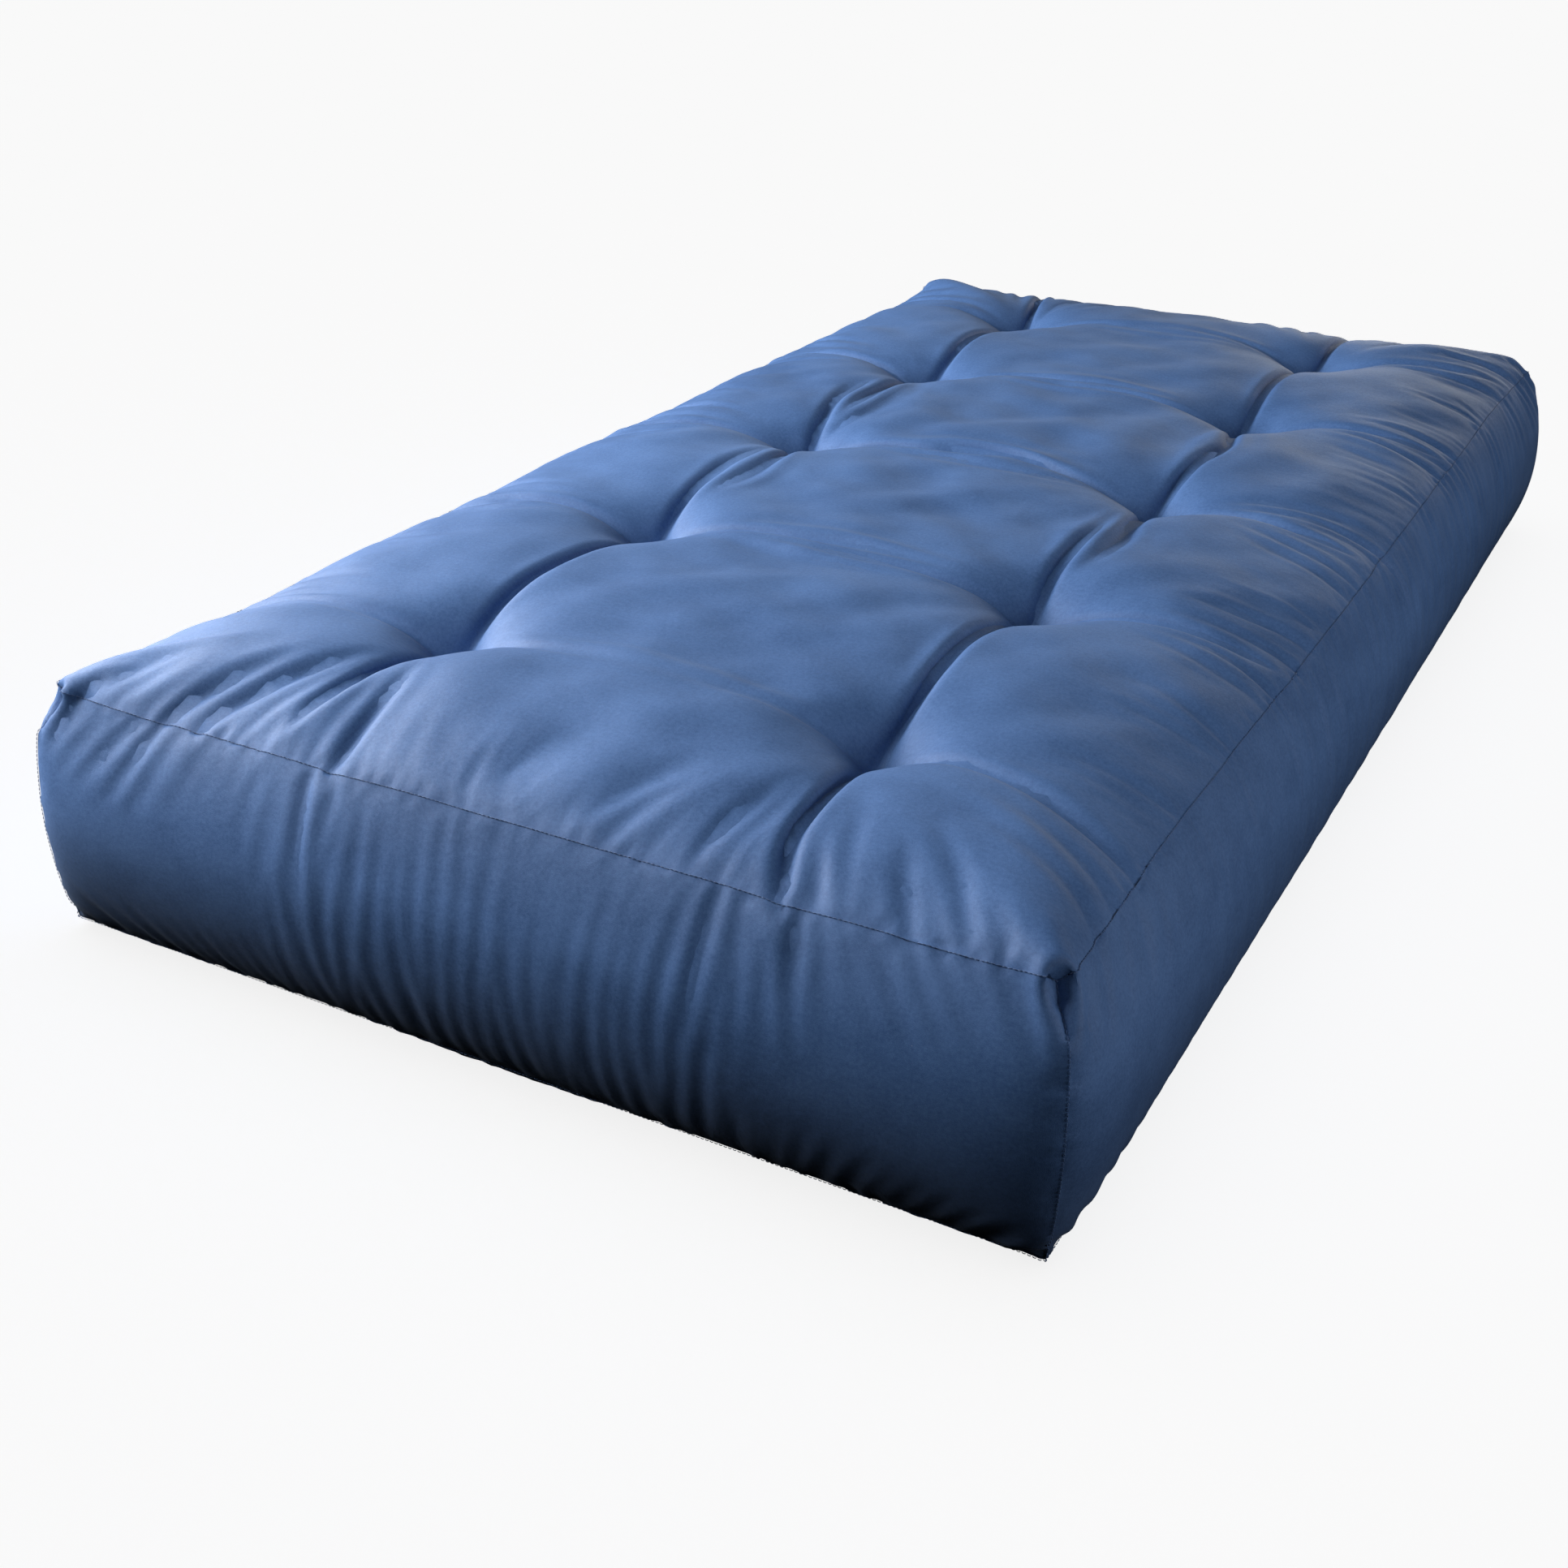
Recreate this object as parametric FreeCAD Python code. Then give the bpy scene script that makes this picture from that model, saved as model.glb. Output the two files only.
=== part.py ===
import FreeCAD, Part
import math
import os

# Twin futon mattress with hand-tied tufts, lying flat. Millimetres, +Z up, +Y along the length.
# The origin is the middle of the underside, on the surface that the mattress lies on.
# The cover is six cloth panels, sewn inside out. The filling is a stack of seven sheets.
# Ten twines go through cover and filling, and draw a dimple into both faces.

Vector = FreeCAD.Vector
UP = Vector(0, 0, 1)

# Driving dimensions
WIDTH = 991.0  # across the swollen sides, 39 in
LENGTH = 1905.0  # across the swollen ends, 75 in
BULGE = 28.0  # how far the boxing swells past its seams, half-way up
CROWN_Z = 281.0  # the top of the sleeping face
TOP_SEAM_Z = 238.0
BOTTOM_SEAM_Z = 12.0
CLOTH = 2.0  # the cover fabric with its backing

# The sleeping face rises from its seam in a shoulder, and is nearly level inside it.
SHOULDER_WIDTH = 88.0
SHOULDER_Z = 268.0
SHOULDER_FULLNESS = 7.0  # how far the shoulder stands out from its chord
UNDERSIDE_ROLL = 45.0  # width of the rounded edge between the flat underside and its seam

# Tufts: two rows along the mattress, five in a row
TUFT_ROW_X = 215.0
TUFT_PITCH_Y = 348.0
TUFTS_PER_ROW = 5
DIMPLE_POWER = 2.2  # 2 is a parabola; more is steeper at the twine
TOP_DIMPLE_RIM_Z = 273.0
TOP_DIMPLE_RIM_R = 108.0
TOP_DIMPLE_FLOOR_Z = 208.0
TOP_DIMPLE_FLOOR_R = 8.0
BOTTOM_DIMPLE_FLOOR_Z = 40.0
BOTTOM_DIMPLE_RIM_R = 62.0
BOTTOM_DIMPLE_FLOOR_R = 18.0

# Tufting twine and the felt pad that spreads its pull under the mattress
TWINE_R = 1.0
TWINE_HOLE_R = 1.2
TWINE_GAP = 8.0  # between the two strands of one tuft
PAD_R = 15.0
PAD_THICKNESS = 3.0
KNOT_R = 3.2
KNOT_TAIL = 18.0

# Seams
THREAD_R = 0.8
SEAM_GROOVE_R = 1.3
CORNER_GROOVE_R = 1.5
CLOSING_LENGTH = 635.0  # the part of the rear bottom seam that is sewn shut last, by hand
FILL_GAP = 0.3  # between the cover and the filling

# The filling, from the bottom: node name and the height of its upper face where no tuft pulls it.
LAYERS = [
    ("bottom_cotton_batting", 52.0),
    ("lower_foam_sheet", 78.0),
    ("lower_middle_batting", 112.0),
    ("core_foam_slab", 162.0),
    ("upper_middle_batting", 196.0),
    ("upper_foam_sheet", 222.0),
    ("top_cotton_batting", None),
]

# Worked out from the above
SEAM_X = WIDTH / 2 - BULGE
SEAM_Y = LENGTH / 2 - BULGE
MARGIN = 60.0  # how far cutting tools reach past what they cut
TUFTS = [
    (f"{side}_{n + 1}", Vector(sign * TUFT_ROW_X, (n - (TUFTS_PER_ROW - 1) / 2) * TUFT_PITCH_Y, 0))
    for side, sign in (("left", -1), ("right", 1))
    for n in range(TUFTS_PER_ROW)
]


def arc(*points):
    """An arc through three (across, z) points, as an edge in the XZ plane."""
    return Part.Arc(*[Vector(h, 0, z) for h, z in points]).toShape()


def level_arc(start, end):
    """An arc from start to end that leaves start level."""
    across, rise = end[0] - start[0], end[1] - start[1]
    radius = (across * across + rise * rise) / (2 * abs(rise))
    half_turn = math.asin(abs(across) / radius) / 2
    middle = (
        start[0] + math.copysign(radius * math.sin(half_turn), across),
        start[1] + math.copysign(radius * (1 - math.cos(half_turn)), rise),
    )
    return arc(start, middle, end)


def bulged_section(seam, inset):
    """The mattress cut square across, as a face, taken in by inset. seam is the half width at the seams."""
    seam -= inset
    low_z = BOTTOM_SEAM_Z + inset
    high_z = TOP_SEAM_Z - inset
    shoulder_z = SHOULDER_Z - inset
    roll = seam - UNDERSIDE_ROLL
    shoulder = seam - SHOULDER_WIDTH
    shoulder_mid = (
        seam - SHOULDER_WIDTH / 2 + SHOULDER_FULLNESS / 2,
        (high_z + shoulder_z) / 2 + SHOULDER_FULLNESS,
    )
    side_mid = (seam + BULGE, (low_z + high_z) / 2)
    edges = [
        Part.LineSegment(Vector(-roll, 0, inset), Vector(roll, 0, inset)).toShape(),
        arc((shoulder, shoulder_z), (0, CROWN_Z - inset), (-shoulder, shoulder_z)),
    ]
    for s in (1, -1):
        edges.append(level_arc((s * roll, inset), (s * seam, low_z)))
        edges.append(arc((s * seam, low_z), (s * side_mid[0], side_mid[1]), (s * seam, high_z)))
        middle = (s * shoulder_mid[0], shoulder_mid[1])
        edges.append(arc((s * seam, high_z), middle, (s * shoulder, shoulder_z)))
    return Part.Face(Part.Wire(Part.__sortEdges__(edges)))


def bulged_block(inset=0.0):
    """The mattress without its tufts, taken in by inset all round."""
    reach_x = WIDTH / 2 + MARGIN
    reach_y = LENGTH / 2 + MARGIN
    along = bulged_section(SEAM_X, inset)
    along.translate(Vector(0, -reach_y, 0))
    along = along.extrude(Vector(0, 2 * reach_y, 0))
    across = bulged_section(SEAM_Y, inset)
    across.rotate(Vector(0, 0, 0), UP, 90)
    across.translate(Vector(-reach_x, 0, 0))
    across = across.extrude(Vector(2 * reach_x, 0, 0))
    return along.common(across)


def dimple(floor_z, floor_r, rim_z, rim_r, open_z):
    """The round hollow that a tuft draws in, on the origin's axis: flat floor, flared wall."""
    steps = [0.0, 0.08, 0.2, 0.35, 0.55, 0.78, 1.0]
    wall = [
        Vector(floor_r + u * (rim_r - floor_r), 0, rim_z + (floor_z - rim_z) * (1 - u) ** DIMPLE_POWER)
        for u in steps
    ]
    curve = Part.BSplineCurve()
    curve.interpolate(wall)
    corners = [wall[-1], Vector(rim_r, 0, open_z), Vector(0, 0, open_z), Vector(0, 0, floor_z), wall[0]]
    lines = [
        Part.LineSegment(a, b).toShape()
        for a, b in zip(corners, corners[1:])
        if (a - b).Length > 1e-6
    ]
    section = Part.Face(Part.Wire([curve.toShape()] + lines))
    return section.revolve(Vector(0, 0, 0), UP, 360)


def at_tufts(shape):
    """Copies of a shape at every tuft."""
    return [shape.translated(place) for _, place in TUFTS]


def face_dimples(inset=0.0):
    """What the tufts take out of both faces of a block that is taken in by inset."""
    above = CROWN_Z + MARGIN
    top = dimple(
        TOP_DIMPLE_FLOOR_Z - inset,
        TOP_DIMPLE_FLOOR_R + inset,
        TOP_DIMPLE_RIM_Z - inset,
        TOP_DIMPLE_RIM_R + inset,
        above,
    )
    bottom = dimple(
        BOTTOM_DIMPLE_FLOOR_Z + inset,
        BOTTOM_DIMPLE_FLOOR_R + inset,
        inset,
        BOTTOM_DIMPLE_RIM_R + inset,
        -MARGIN,
    )
    return at_tufts(top) + at_tufts(bottom)


def twine_holes():
    """The pairs of holes that the twines pass through."""
    strands = []
    for x in (-TWINE_GAP / 2, TWINE_GAP / 2):
        strands += at_tufts(Part.makeCylinder(TWINE_HOLE_R, CROWN_Z, Vector(x, 0, 0)))
    return strands


def prism(corners, low, high):
    """An upright prism over a polygon of (x, y) corners."""
    points = [Vector(x, y, low) for x, y in corners]
    return Part.Face(Part.makePolygon(points + points[:1])).extrude(Vector(0, 0, high - low))


def slab(low, high):
    """A block that is wider than the mattress, between two heights."""
    x = WIDTH / 2 + MARGIN
    y = LENGTH / 2 + MARGIN
    return Part.makeBox(2 * x, 2 * y, high - low, Vector(-x, -y, low))


def tube(points, radius):
    """A round thread through straight runs, with a ball at each bend."""
    pieces = []
    for a, b in zip(points, points[1:]):
        pieces.append(Part.makeCylinder(radius, (b - a).Length, a, b - a))
    for p in points[1:-1]:
        pieces.append(Part.makeSphere(radius, p))
    return pieces[0].multiFuse(pieces[1:]) if len(pieces) > 1 else pieces[0]


def seam_corner(x_sign, y_sign, z):
    return Vector(x_sign * SEAM_X, y_sign * SEAM_Y, z)


def top_seam(radius):
    """The thread of the seam round the sleeping face, or the groove that it lies in."""
    ring = [seam_corner(x, y, TOP_SEAM_Z) for x, y in ((0, -1), (1, -1), (1, 1), (-1, 1), (-1, -1), (0, -1))]
    return tube(ring, radius)


def bottom_seam(radius):
    """The machine-sewn part of the seam round the underside, which stops at the closing stretch."""
    stop = CLOSING_LENGTH / 2
    ring = [seam_corner(x, y, BOTTOM_SEAM_Z) for x, y in ((1, 1), (1, -1), (-1, -1), (-1, 1))]
    ends = [Vector(s * stop, SEAM_Y, BOTTOM_SEAM_Z) for s in (1, -1)]
    return tube([ends[0]] + ring + [ends[1]], radius)


def closing_seam(radius, gap=0.5):
    """The hand-sewn stretch that shuts the cover, in the middle of the rear bottom seam."""
    stop = CLOSING_LENGTH / 2 - gap
    return tube([Vector(s * stop, SEAM_Y, BOTTOM_SEAM_Z) for s in (-1, 1)], radius)


def corner_seam(x_sign, y_sign, radius, clear):
    """The upright seam between two boxing strips, following their bulge, clear of the level seams."""
    middle_z = (TOP_SEAM_Z + BOTTOM_SEAM_Z) / 2
    middle = Vector(x_sign * (SEAM_X + BULGE), y_sign * (SEAM_Y + BULGE), middle_z)
    path = Part.Arc(
        seam_corner(x_sign, y_sign, BOTTOM_SEAM_Z), middle, seam_corner(x_sign, y_sign, TOP_SEAM_Z)
    ).toShape()
    start = path.valueAt(path.FirstParameter)
    heading = path.tangentAt(path.FirstParameter)
    ring = Part.Wire(Part.makeCircle(radius, start, heading))
    whole = Part.Wire(path).makePipeShell([ring], True, True)
    return whole.common(slab(BOTTOM_SEAM_Z + clear, TOP_SEAM_Z - clear))


def cover_panels():
    """The six cloth panels, as {node: solid}."""
    outer = bulged_block().cut(face_dimples())
    inner = bulged_block(CLOTH).cut(face_dimples(CLOTH))
    shell = outer.cut(inner)
    grooves = [top_seam(SEAM_GROOVE_R), bottom_seam(SEAM_GROOVE_R), closing_seam(SEAM_GROOVE_R)]
    grooves += [corner_seam(x, y, CORNER_GROOVE_R, 0.0) for x in (-1, 1) for y in (-1, 1)]
    shell = shell.cut(grooves + twine_holes())
    panels = {
        "top_panel": shell.common(slab(TOP_SEAM_Z, CROWN_Z + MARGIN).fuse(tuft_wells())),
        "bottom_panel": shell.common(slab(-MARGIN, BOTTOM_SEAM_Z).fuse(tuft_posts())),
    }
    strip = shell.common(slab(BOTTOM_SEAM_Z, TOP_SEAM_Z)).cut([tuft_wells(), tuft_posts()])
    ends = [
        (-SEAM_X + MARGIN, -SEAM_Y + MARGIN),
        (SEAM_X - MARGIN, -SEAM_Y + MARGIN),
        (SEAM_X + MARGIN, -SEAM_Y - MARGIN),
        (-SEAM_X - MARGIN, -SEAM_Y - MARGIN),
    ]
    sides = [
        (SEAM_X - MARGIN, SEAM_Y - MARGIN),
        (SEAM_X - MARGIN, -SEAM_Y + MARGIN),
        (SEAM_X + MARGIN, -SEAM_Y - MARGIN),
        (SEAM_X + MARGIN, SEAM_Y + MARGIN),
    ]
    low, high = BOTTOM_SEAM_Z - 1, TOP_SEAM_Z + 1
    panels["front_boxing"] = strip.common(prism(ends, low, high))
    panels["rear_boxing"] = strip.common(prism([(x, -y) for x, y in ends], low, high))
    panels["right_boxing"] = strip.common(prism(sides, low, high))
    panels["left_boxing"] = strip.common(prism([(-x, y) for x, y in sides], low, high))
    return panels


def tuft_wells():
    """The columns below the top seam's height that hold the top panel's dimples."""
    middle = (TOP_DIMPLE_FLOOR_Z + BOTTOM_DIMPLE_FLOOR_Z) / 2
    wells = at_tufts(Part.makeCylinder(TOP_DIMPLE_RIM_R + MARGIN, TOP_SEAM_Z - middle, Vector(0, 0, middle)))
    return wells[0].multiFuse(wells[1:])


def tuft_posts():
    """The columns above the bottom seam's height that hold the bottom panel's dimples."""
    middle = (TOP_DIMPLE_FLOOR_Z + BOTTOM_DIMPLE_FLOOR_Z) / 2
    height = middle - BOTTOM_SEAM_Z
    posts = at_tufts(Part.makeCylinder(BOTTOM_DIMPLE_RIM_R + MARGIN, height, Vector(0, 0, BOTTOM_SEAM_Z)))
    return posts[0].multiFuse(posts[1:])


def squeezed(z):
    """The height at a twine of what is at height z away from it."""
    share = z / TOP_DIMPLE_RIM_Z
    return BOTTOM_DIMPLE_FLOOR_Z + share * (TOP_DIMPLE_FLOOR_Z - BOTTOM_DIMPLE_FLOOR_Z)


def dip(z):
    """What a tuft moves the boundary at height z past, and whether it draws it down."""
    floor_z = squeezed(z)
    shape = dimple(floor_z, TOP_DIMPLE_FLOOR_R + CLOTH, z, TOP_DIMPLE_RIM_R + CLOTH, z)
    return at_tufts(shape), floor_z < z


def filling_sheets():
    """The stacked sheets of the filling, as {node: solid}."""
    inset = CLOTH + FILL_GAP
    room = bulged_block(inset).cut(face_dimples(inset) + twine_holes())
    sheets = {}
    low = -MARGIN
    for name, high in LAYERS:
        top = CROWN_Z + MARGIN if high is None else high
        sheet = slab(low, top)
        if low > 0:
            moved, down = dip(low)
            sheet = sheet.multiFuse(moved) if down else sheet.cut(moved)
        if high is not None:
            moved, down = dip(high)
            sheet = sheet.cut(moved) if down else sheet.multiFuse(moved)
        sheets[name] = room.common(sheet)
        low = top
    return sheets


def turned_strand(z, way):
    """Twine that turns from strand to strand over a face at height z, or under it where way is -1."""
    end = Part.Face(Part.Wire(Part.makeCircle(TWINE_R, Vector(-way * TWINE_GAP / 2, 0, z), way * UP)))
    return end.revolve(Vector(0, 0, z), Vector(0, 1, 0), 180)


def tuft_twine():
    """One tuft's twine, on the origin's axis: a stitch on top, two strands, and a knot under the pad."""
    pad_under = BOTTOM_DIMPLE_FLOOR_Z - PAD_THICKNESS
    length = TOP_DIMPLE_FLOOR_Z - pad_under
    knot_z = pad_under - TWINE_GAP / 2
    knot = Part.makeSphere(KNOT_R, Vector(0, 0, knot_z))
    knot.rotate(Vector(0, 0, 0), UP, -45)  # keeps the sphere's seam line clear of the strands and tails
    pieces = [turned_strand(TOP_DIMPLE_FLOOR_Z, 1), turned_strand(pad_under, -1)]
    for x in (-TWINE_GAP / 2, TWINE_GAP / 2):
        pieces.append(Part.makeCylinder(TWINE_R, length, Vector(x, 0, pad_under)))
    for turn in (70, 250):
        heading = Vector(math.cos(math.radians(turn)), math.sin(math.radians(turn)), -0.12)
        pieces.append(Part.makeCylinder(TWINE_R, KNOT_TAIL, Vector(0, 0, knot_z), heading))
    return knot.multiFuse(pieces)


def tuft_pad():
    """The felt pad between the knot and the bottom panel."""
    pad = Part.makeCylinder(PAD_R, PAD_THICKNESS, Vector(0, 0, BOTTOM_DIMPLE_FLOOR_Z - PAD_THICKNESS))
    for x in (-TWINE_GAP / 2, TWINE_GAP / 2):
        pad = pad.cut(Part.makeCylinder(TWINE_HOLE_R, CROWN_Z, Vector(x, 0, 0)))
    return pad


def seam_threads():
    """The sewing threads, as {node: solid}."""
    threads = {
        "top_seam_thread": top_seam(THREAD_R),
        "bottom_seam_thread": bottom_seam(THREAD_R),
        "closing_seam_thread": closing_seam(THREAD_R),
    }
    for y_name, y in (("front", -1), ("rear", 1)):
        for x_name, x in (("left", -1), ("right", 1)):
            threads[f"{y_name}_{x_name}_corner_thread"] = corner_seam(x, y, THREAD_R, 2 * SEAM_GROOVE_R)
    return threads


def whole_mattress():
    """Every sub-part, as {node: solid}."""
    parts = cover_panels()
    parts.update(filling_sheets())
    parts.update(seam_threads())
    twine = tuft_twine()
    pad = tuft_pad()
    for name, place in TUFTS:
        parts[f"tuft_twine_{name}"] = twine.translated(place)
        parts[f"tuft_pad_{name}"] = pad.translated(place)
    return parts


os.makedirs("parts", exist_ok=True)
for node, solid in whole_mattress().items():
    solid.exportStep(f"parts/{node}.step")
    box = solid.BoundBox
    print(
        f"{node}: {len(solid.Solids)} solid, valid {solid.isValid()}, {solid.Volume / 1e6:.3f} l, "
        f"x {box.XMin:.1f} to {box.XMax:.1f}, "
        f"y {box.YMin:.1f} to {box.YMax:.1f}, "
        f"z {box.ZMin:.1f} to {box.ZMax:.1f}"
    )
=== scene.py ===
# %% [markdown]
# # A hand-tufted futon mattress
# A futon mattress is a flat bag of six sewn cloth panels, stuffed with more batting and foam than it
# wants to hold. Ten twines are then tied through it. Nothing in it is a block: every curve is cloth
# that finds its own balance between the filling's push, the seams' pull and the twines' pull.
# So this lesson cuts the panels flat, sews them, fills them and ties them down, and lets them settle.

# %% The frame that everything is built around
import math
import time

import bmesh
import bpy
import numpy as np
from mathutils import Matrix, Vector


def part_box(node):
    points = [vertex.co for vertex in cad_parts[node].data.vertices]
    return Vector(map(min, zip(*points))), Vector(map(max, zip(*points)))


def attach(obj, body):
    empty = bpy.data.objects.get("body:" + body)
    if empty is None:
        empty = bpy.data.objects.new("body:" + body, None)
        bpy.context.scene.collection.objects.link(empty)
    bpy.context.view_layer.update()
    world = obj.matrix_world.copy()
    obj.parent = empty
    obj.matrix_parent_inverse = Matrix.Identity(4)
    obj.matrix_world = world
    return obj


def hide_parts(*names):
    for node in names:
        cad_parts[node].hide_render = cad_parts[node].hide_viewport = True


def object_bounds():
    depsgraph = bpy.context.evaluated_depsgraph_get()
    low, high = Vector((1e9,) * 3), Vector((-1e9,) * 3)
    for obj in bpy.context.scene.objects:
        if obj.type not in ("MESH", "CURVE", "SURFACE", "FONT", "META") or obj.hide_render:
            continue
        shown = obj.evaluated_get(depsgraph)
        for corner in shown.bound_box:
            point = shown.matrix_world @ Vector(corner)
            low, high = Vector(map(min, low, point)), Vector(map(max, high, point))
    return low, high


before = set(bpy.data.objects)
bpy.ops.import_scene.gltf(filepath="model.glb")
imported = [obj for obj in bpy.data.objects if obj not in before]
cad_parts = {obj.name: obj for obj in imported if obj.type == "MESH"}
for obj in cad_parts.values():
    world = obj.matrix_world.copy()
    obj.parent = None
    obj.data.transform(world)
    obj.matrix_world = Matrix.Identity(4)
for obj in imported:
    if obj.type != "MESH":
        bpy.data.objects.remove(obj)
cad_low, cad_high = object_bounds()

print("nodes in the frame:", len(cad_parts))

# %% [markdown]
# The design already says where the seams run and where the twines are tied. Reading those places
# from the frame, and not typing them again, keeps the looks and the design together.

# %% Sizes read from the frame


def middle_and_half(node):
    """The centre of a node's box and half its size, in metres."""
    low, high = (np.array(corner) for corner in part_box(node))
    return (low + high) / 2, (high - low) / 2


seam_centre, seam_half = middle_and_half("top_seam_thread")
THREAD_RADIUS = float(seam_half[2])
SEAM_X, SEAM_Y = (float(h - THREAD_RADIUS) for h in seam_half[:2])
TOP_SEAM_Z = float(seam_centre[2])
BOTTOM_SEAM_Z = float(middle_and_half("bottom_seam_thread")[0][2])
CROWN_Z = float(cad_high[2])
BULGE = float(cad_high[0]) - SEAM_X
SIDES, ROWS = ("left", "right"), range(1, 6)
TUFTS = {
    f"{side}_{row}": middle_and_half(f"tuft_pad_{side}_{row}")[0] for side in SIDES for row in ROWS
}
pad_centre, pad_half = middle_and_half("tuft_pad_left_1")
PAD_TOP_Z = float(pad_centre[2] + pad_half[2])
print(f"seam rectangle {2 * SEAM_X:.3f} x {2 * SEAM_Y:.3f} m, {TOP_SEAM_Z:.3f} m up, crown {CROWN_Z:.3f} m")

# %% [markdown]
# ## Camera, floor and light
# Blue cloth in a pale studio needs little: a floor that is nearly white, one long soft light low on the
# left that rakes across the pillows, a smaller one high in front, two weak ones at the right and
# behind, and a dim sky that is brightest overhead.

# %% Camera
CAMERA_AT = Vector((0.817, -1.985, 0.951))
CAMERA_YAW, CAMERA_PITCH, CAMERA_ROLL = (math.radians(a) for a in (-27.98, -27.19, 0.98))
LENS_MM, SENSOR_MM = 43.69, 36.0


def make_camera():
    forward = Vector((
        math.sin(CAMERA_YAW) * math.cos(CAMERA_PITCH),
        math.cos(CAMERA_YAW) * math.cos(CAMERA_PITCH),
        math.sin(CAMERA_PITCH),
    ))
    level = Vector((math.cos(CAMERA_YAW), -math.sin(CAMERA_YAW), 0))
    upright = level.cross(forward)
    right = math.cos(CAMERA_ROLL) * level + math.sin(CAMERA_ROLL) * upright
    up = math.cos(CAMERA_ROLL) * upright - math.sin(CAMERA_ROLL) * level
    data = bpy.data.cameras.new("camera")
    data.sensor_width, data.lens = SENSOR_MM, LENS_MM
    camera = bpy.data.objects.new("camera", data)
    bpy.context.collection.objects.link(camera)
    camera.matrix_world = Matrix.Translation(CAMERA_AT) @ Matrix((right, up, -forward)).transposed().to_4x4()
    bpy.context.scene.camera = camera


make_camera()

# %% Nodes as expressions
# Materials, the sky and the sewing are all node trees. One class builds their nodes, and another
# wraps a socket, so that arithmetic on sockets reads as arithmetic.


class Socket:
    """An output of a node, which can be added to and multiplied."""

    def __init__(self, tree, socket):
        self.tree, self.socket = tree, socket

    def maths(self, operation, first, second):
        return self.tree.node("ShaderNodeMath", {"operation": operation}, {0: first, 1: second})

    def __add__(self, other):
        return self.maths("ADD", self, other)

    def __mul__(self, other):
        return self.maths("MULTIPLY", self, other)

    __radd__, __rmul__ = __add__, __mul__


class Tree:
    """A node tree that is written as calls."""

    def __init__(self, tree):
        self.tree = tree

    def node(self, kind, settings=None, sockets=None, output=0):
        """Adds a node: its settings first, then the value or link of each socket, by name or number."""
        made = self.tree.nodes.new(kind)
        for key, value in (settings or {}).items():
            if key == "stops":
                for place, (at, colour) in enumerate(value):
                    stops = made.color_ramp.elements
                    stop = stops[place] if place < 2 else stops.new(at)
                    stop.position, stop.color = at, colour
            else:
                setattr(made, key, value)
        for key, value in (sockets or {}).items():
            self.put(made.inputs[key], value)
        return Socket(self, made.outputs[output])

    def put(self, socket, value):
        if isinstance(value, Socket):
            self.tree.links.new(value.socket, socket)
        else:
            socket.default_value = value

    def blend(self, share, low, high):
        """A colour between two others."""
        return self.node("ShaderNodeMix", {"data_type": "RGBA"}, {0: share, 6: low, 7: high}, output=2)


# %% Lights


def soft_box(name, at, wide, tall, watts):
    """A rectangular area light that faces the middle of the mattress."""
    data = bpy.data.lights.new(name, "AREA")
    data.shape, data.size, data.size_y, data.energy = "RECTANGLE", wide, tall, watts
    light = bpy.data.objects.new(name, data)
    bpy.context.collection.objects.link(light)
    light.location = at
    light.rotation_euler = (Vector((0, 0, 0.1)) - Vector(at)).to_track_quat("-Z", "Y").to_euler()
    return light


SKY_STRENGTH = 0.25
BACKDROP = 0.93
SKY = (  # height above the horizon, brightness
    (0.0, (0, 0, 0, 1)), (0.5, (0.14, 0.141, 0.146, 1)), (1.0, (1, 1, 1, 1)),
)


def make_sky():
    """Lights the cloth from overhead, and not from below the horizon. Behind it all hangs a pale backdrop."""
    world = bpy.data.worlds.new("studio")
    world.use_nodes = True
    bpy.context.scene.world = world
    sky = Tree(world.node_tree)
    way = sky.node("ShaderNodeTexCoord", output="Generated")
    height = sky.node("ShaderNodeSeparateXYZ", {}, {0: way}, output="Z")
    shade = sky.node("ShaderNodeValToRGB", {"stops": SKY}, {0: height})
    seen = sky.node("ShaderNodeLightPath", output="Is Camera Ray")
    pale = (*[BACKDROP / SKY_STRENGTH] * 3, 1)
    back = world.node_tree.nodes["Background"]
    sky.put(back.inputs["Color"], sky.blend(seen, shade, pale))
    back.inputs["Strength"].default_value = SKY_STRENGTH


make_sky()
LAMPS = [
    soft_box("window", (-2.05, -0.6, 1.05), 2.6, 0.9, 118),
    soft_box("front_fill", (-1.6, -1.9, 2.3), 1.0, 0.7, 30),
    soft_box("right_fill", (2.3, -0.3, 0.7), 2.2, 0.6, 18),
    soft_box("rear_fill", (0.3, 2.5, 0.5), 1.2, 0.5, 9),
]
bpy.context.scene.view_settings.view_transform = "Standard"

# %% [markdown]
# ## The cloth as panels
# The cover is cut as six rectangles. Each is held here as a grid of points, which is how cloth behaves:
# stiff along its two thread directions, easier to shear, and nearly free to bend. Blender's own Cloth
# could do this on a coarse mesh, but the folds of a mattress two metres long need a point every few
# millimetres. So the panels settle in three rounds, each with half the spacing of the one before:
# the first finds the pillows, the second the big folds, the last the puckers along the seams.

# %% Panels, cut flat
CELLS_X, CELLS_Y, CELLS_Z = 52, 104, 14  # the first round's grid
ROUNDS = 3
EASE_X, EASE_Y = 1.055, 1.046  # the top is cut this much larger than the rectangle it is sewn to
BOTTOM_EASE = 1.016
BOTTOM_OUT = 0.018  # a full mattress rolls this far out over its bottom seam rectangle
END_EASE, SIDE_EASE = 0.058, 0.045  # and fed in this much more near the two ends and the two sides
END_WIDTH, SIDE_WIDTH = 0.22, 0.14
STRIP_EASE = 1.075  # and the boxing strips this much longer
STRIP_HEIGHT = 0.243  # the boxing strips' cut height between their seams
random = np.random.default_rng(7)


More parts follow.
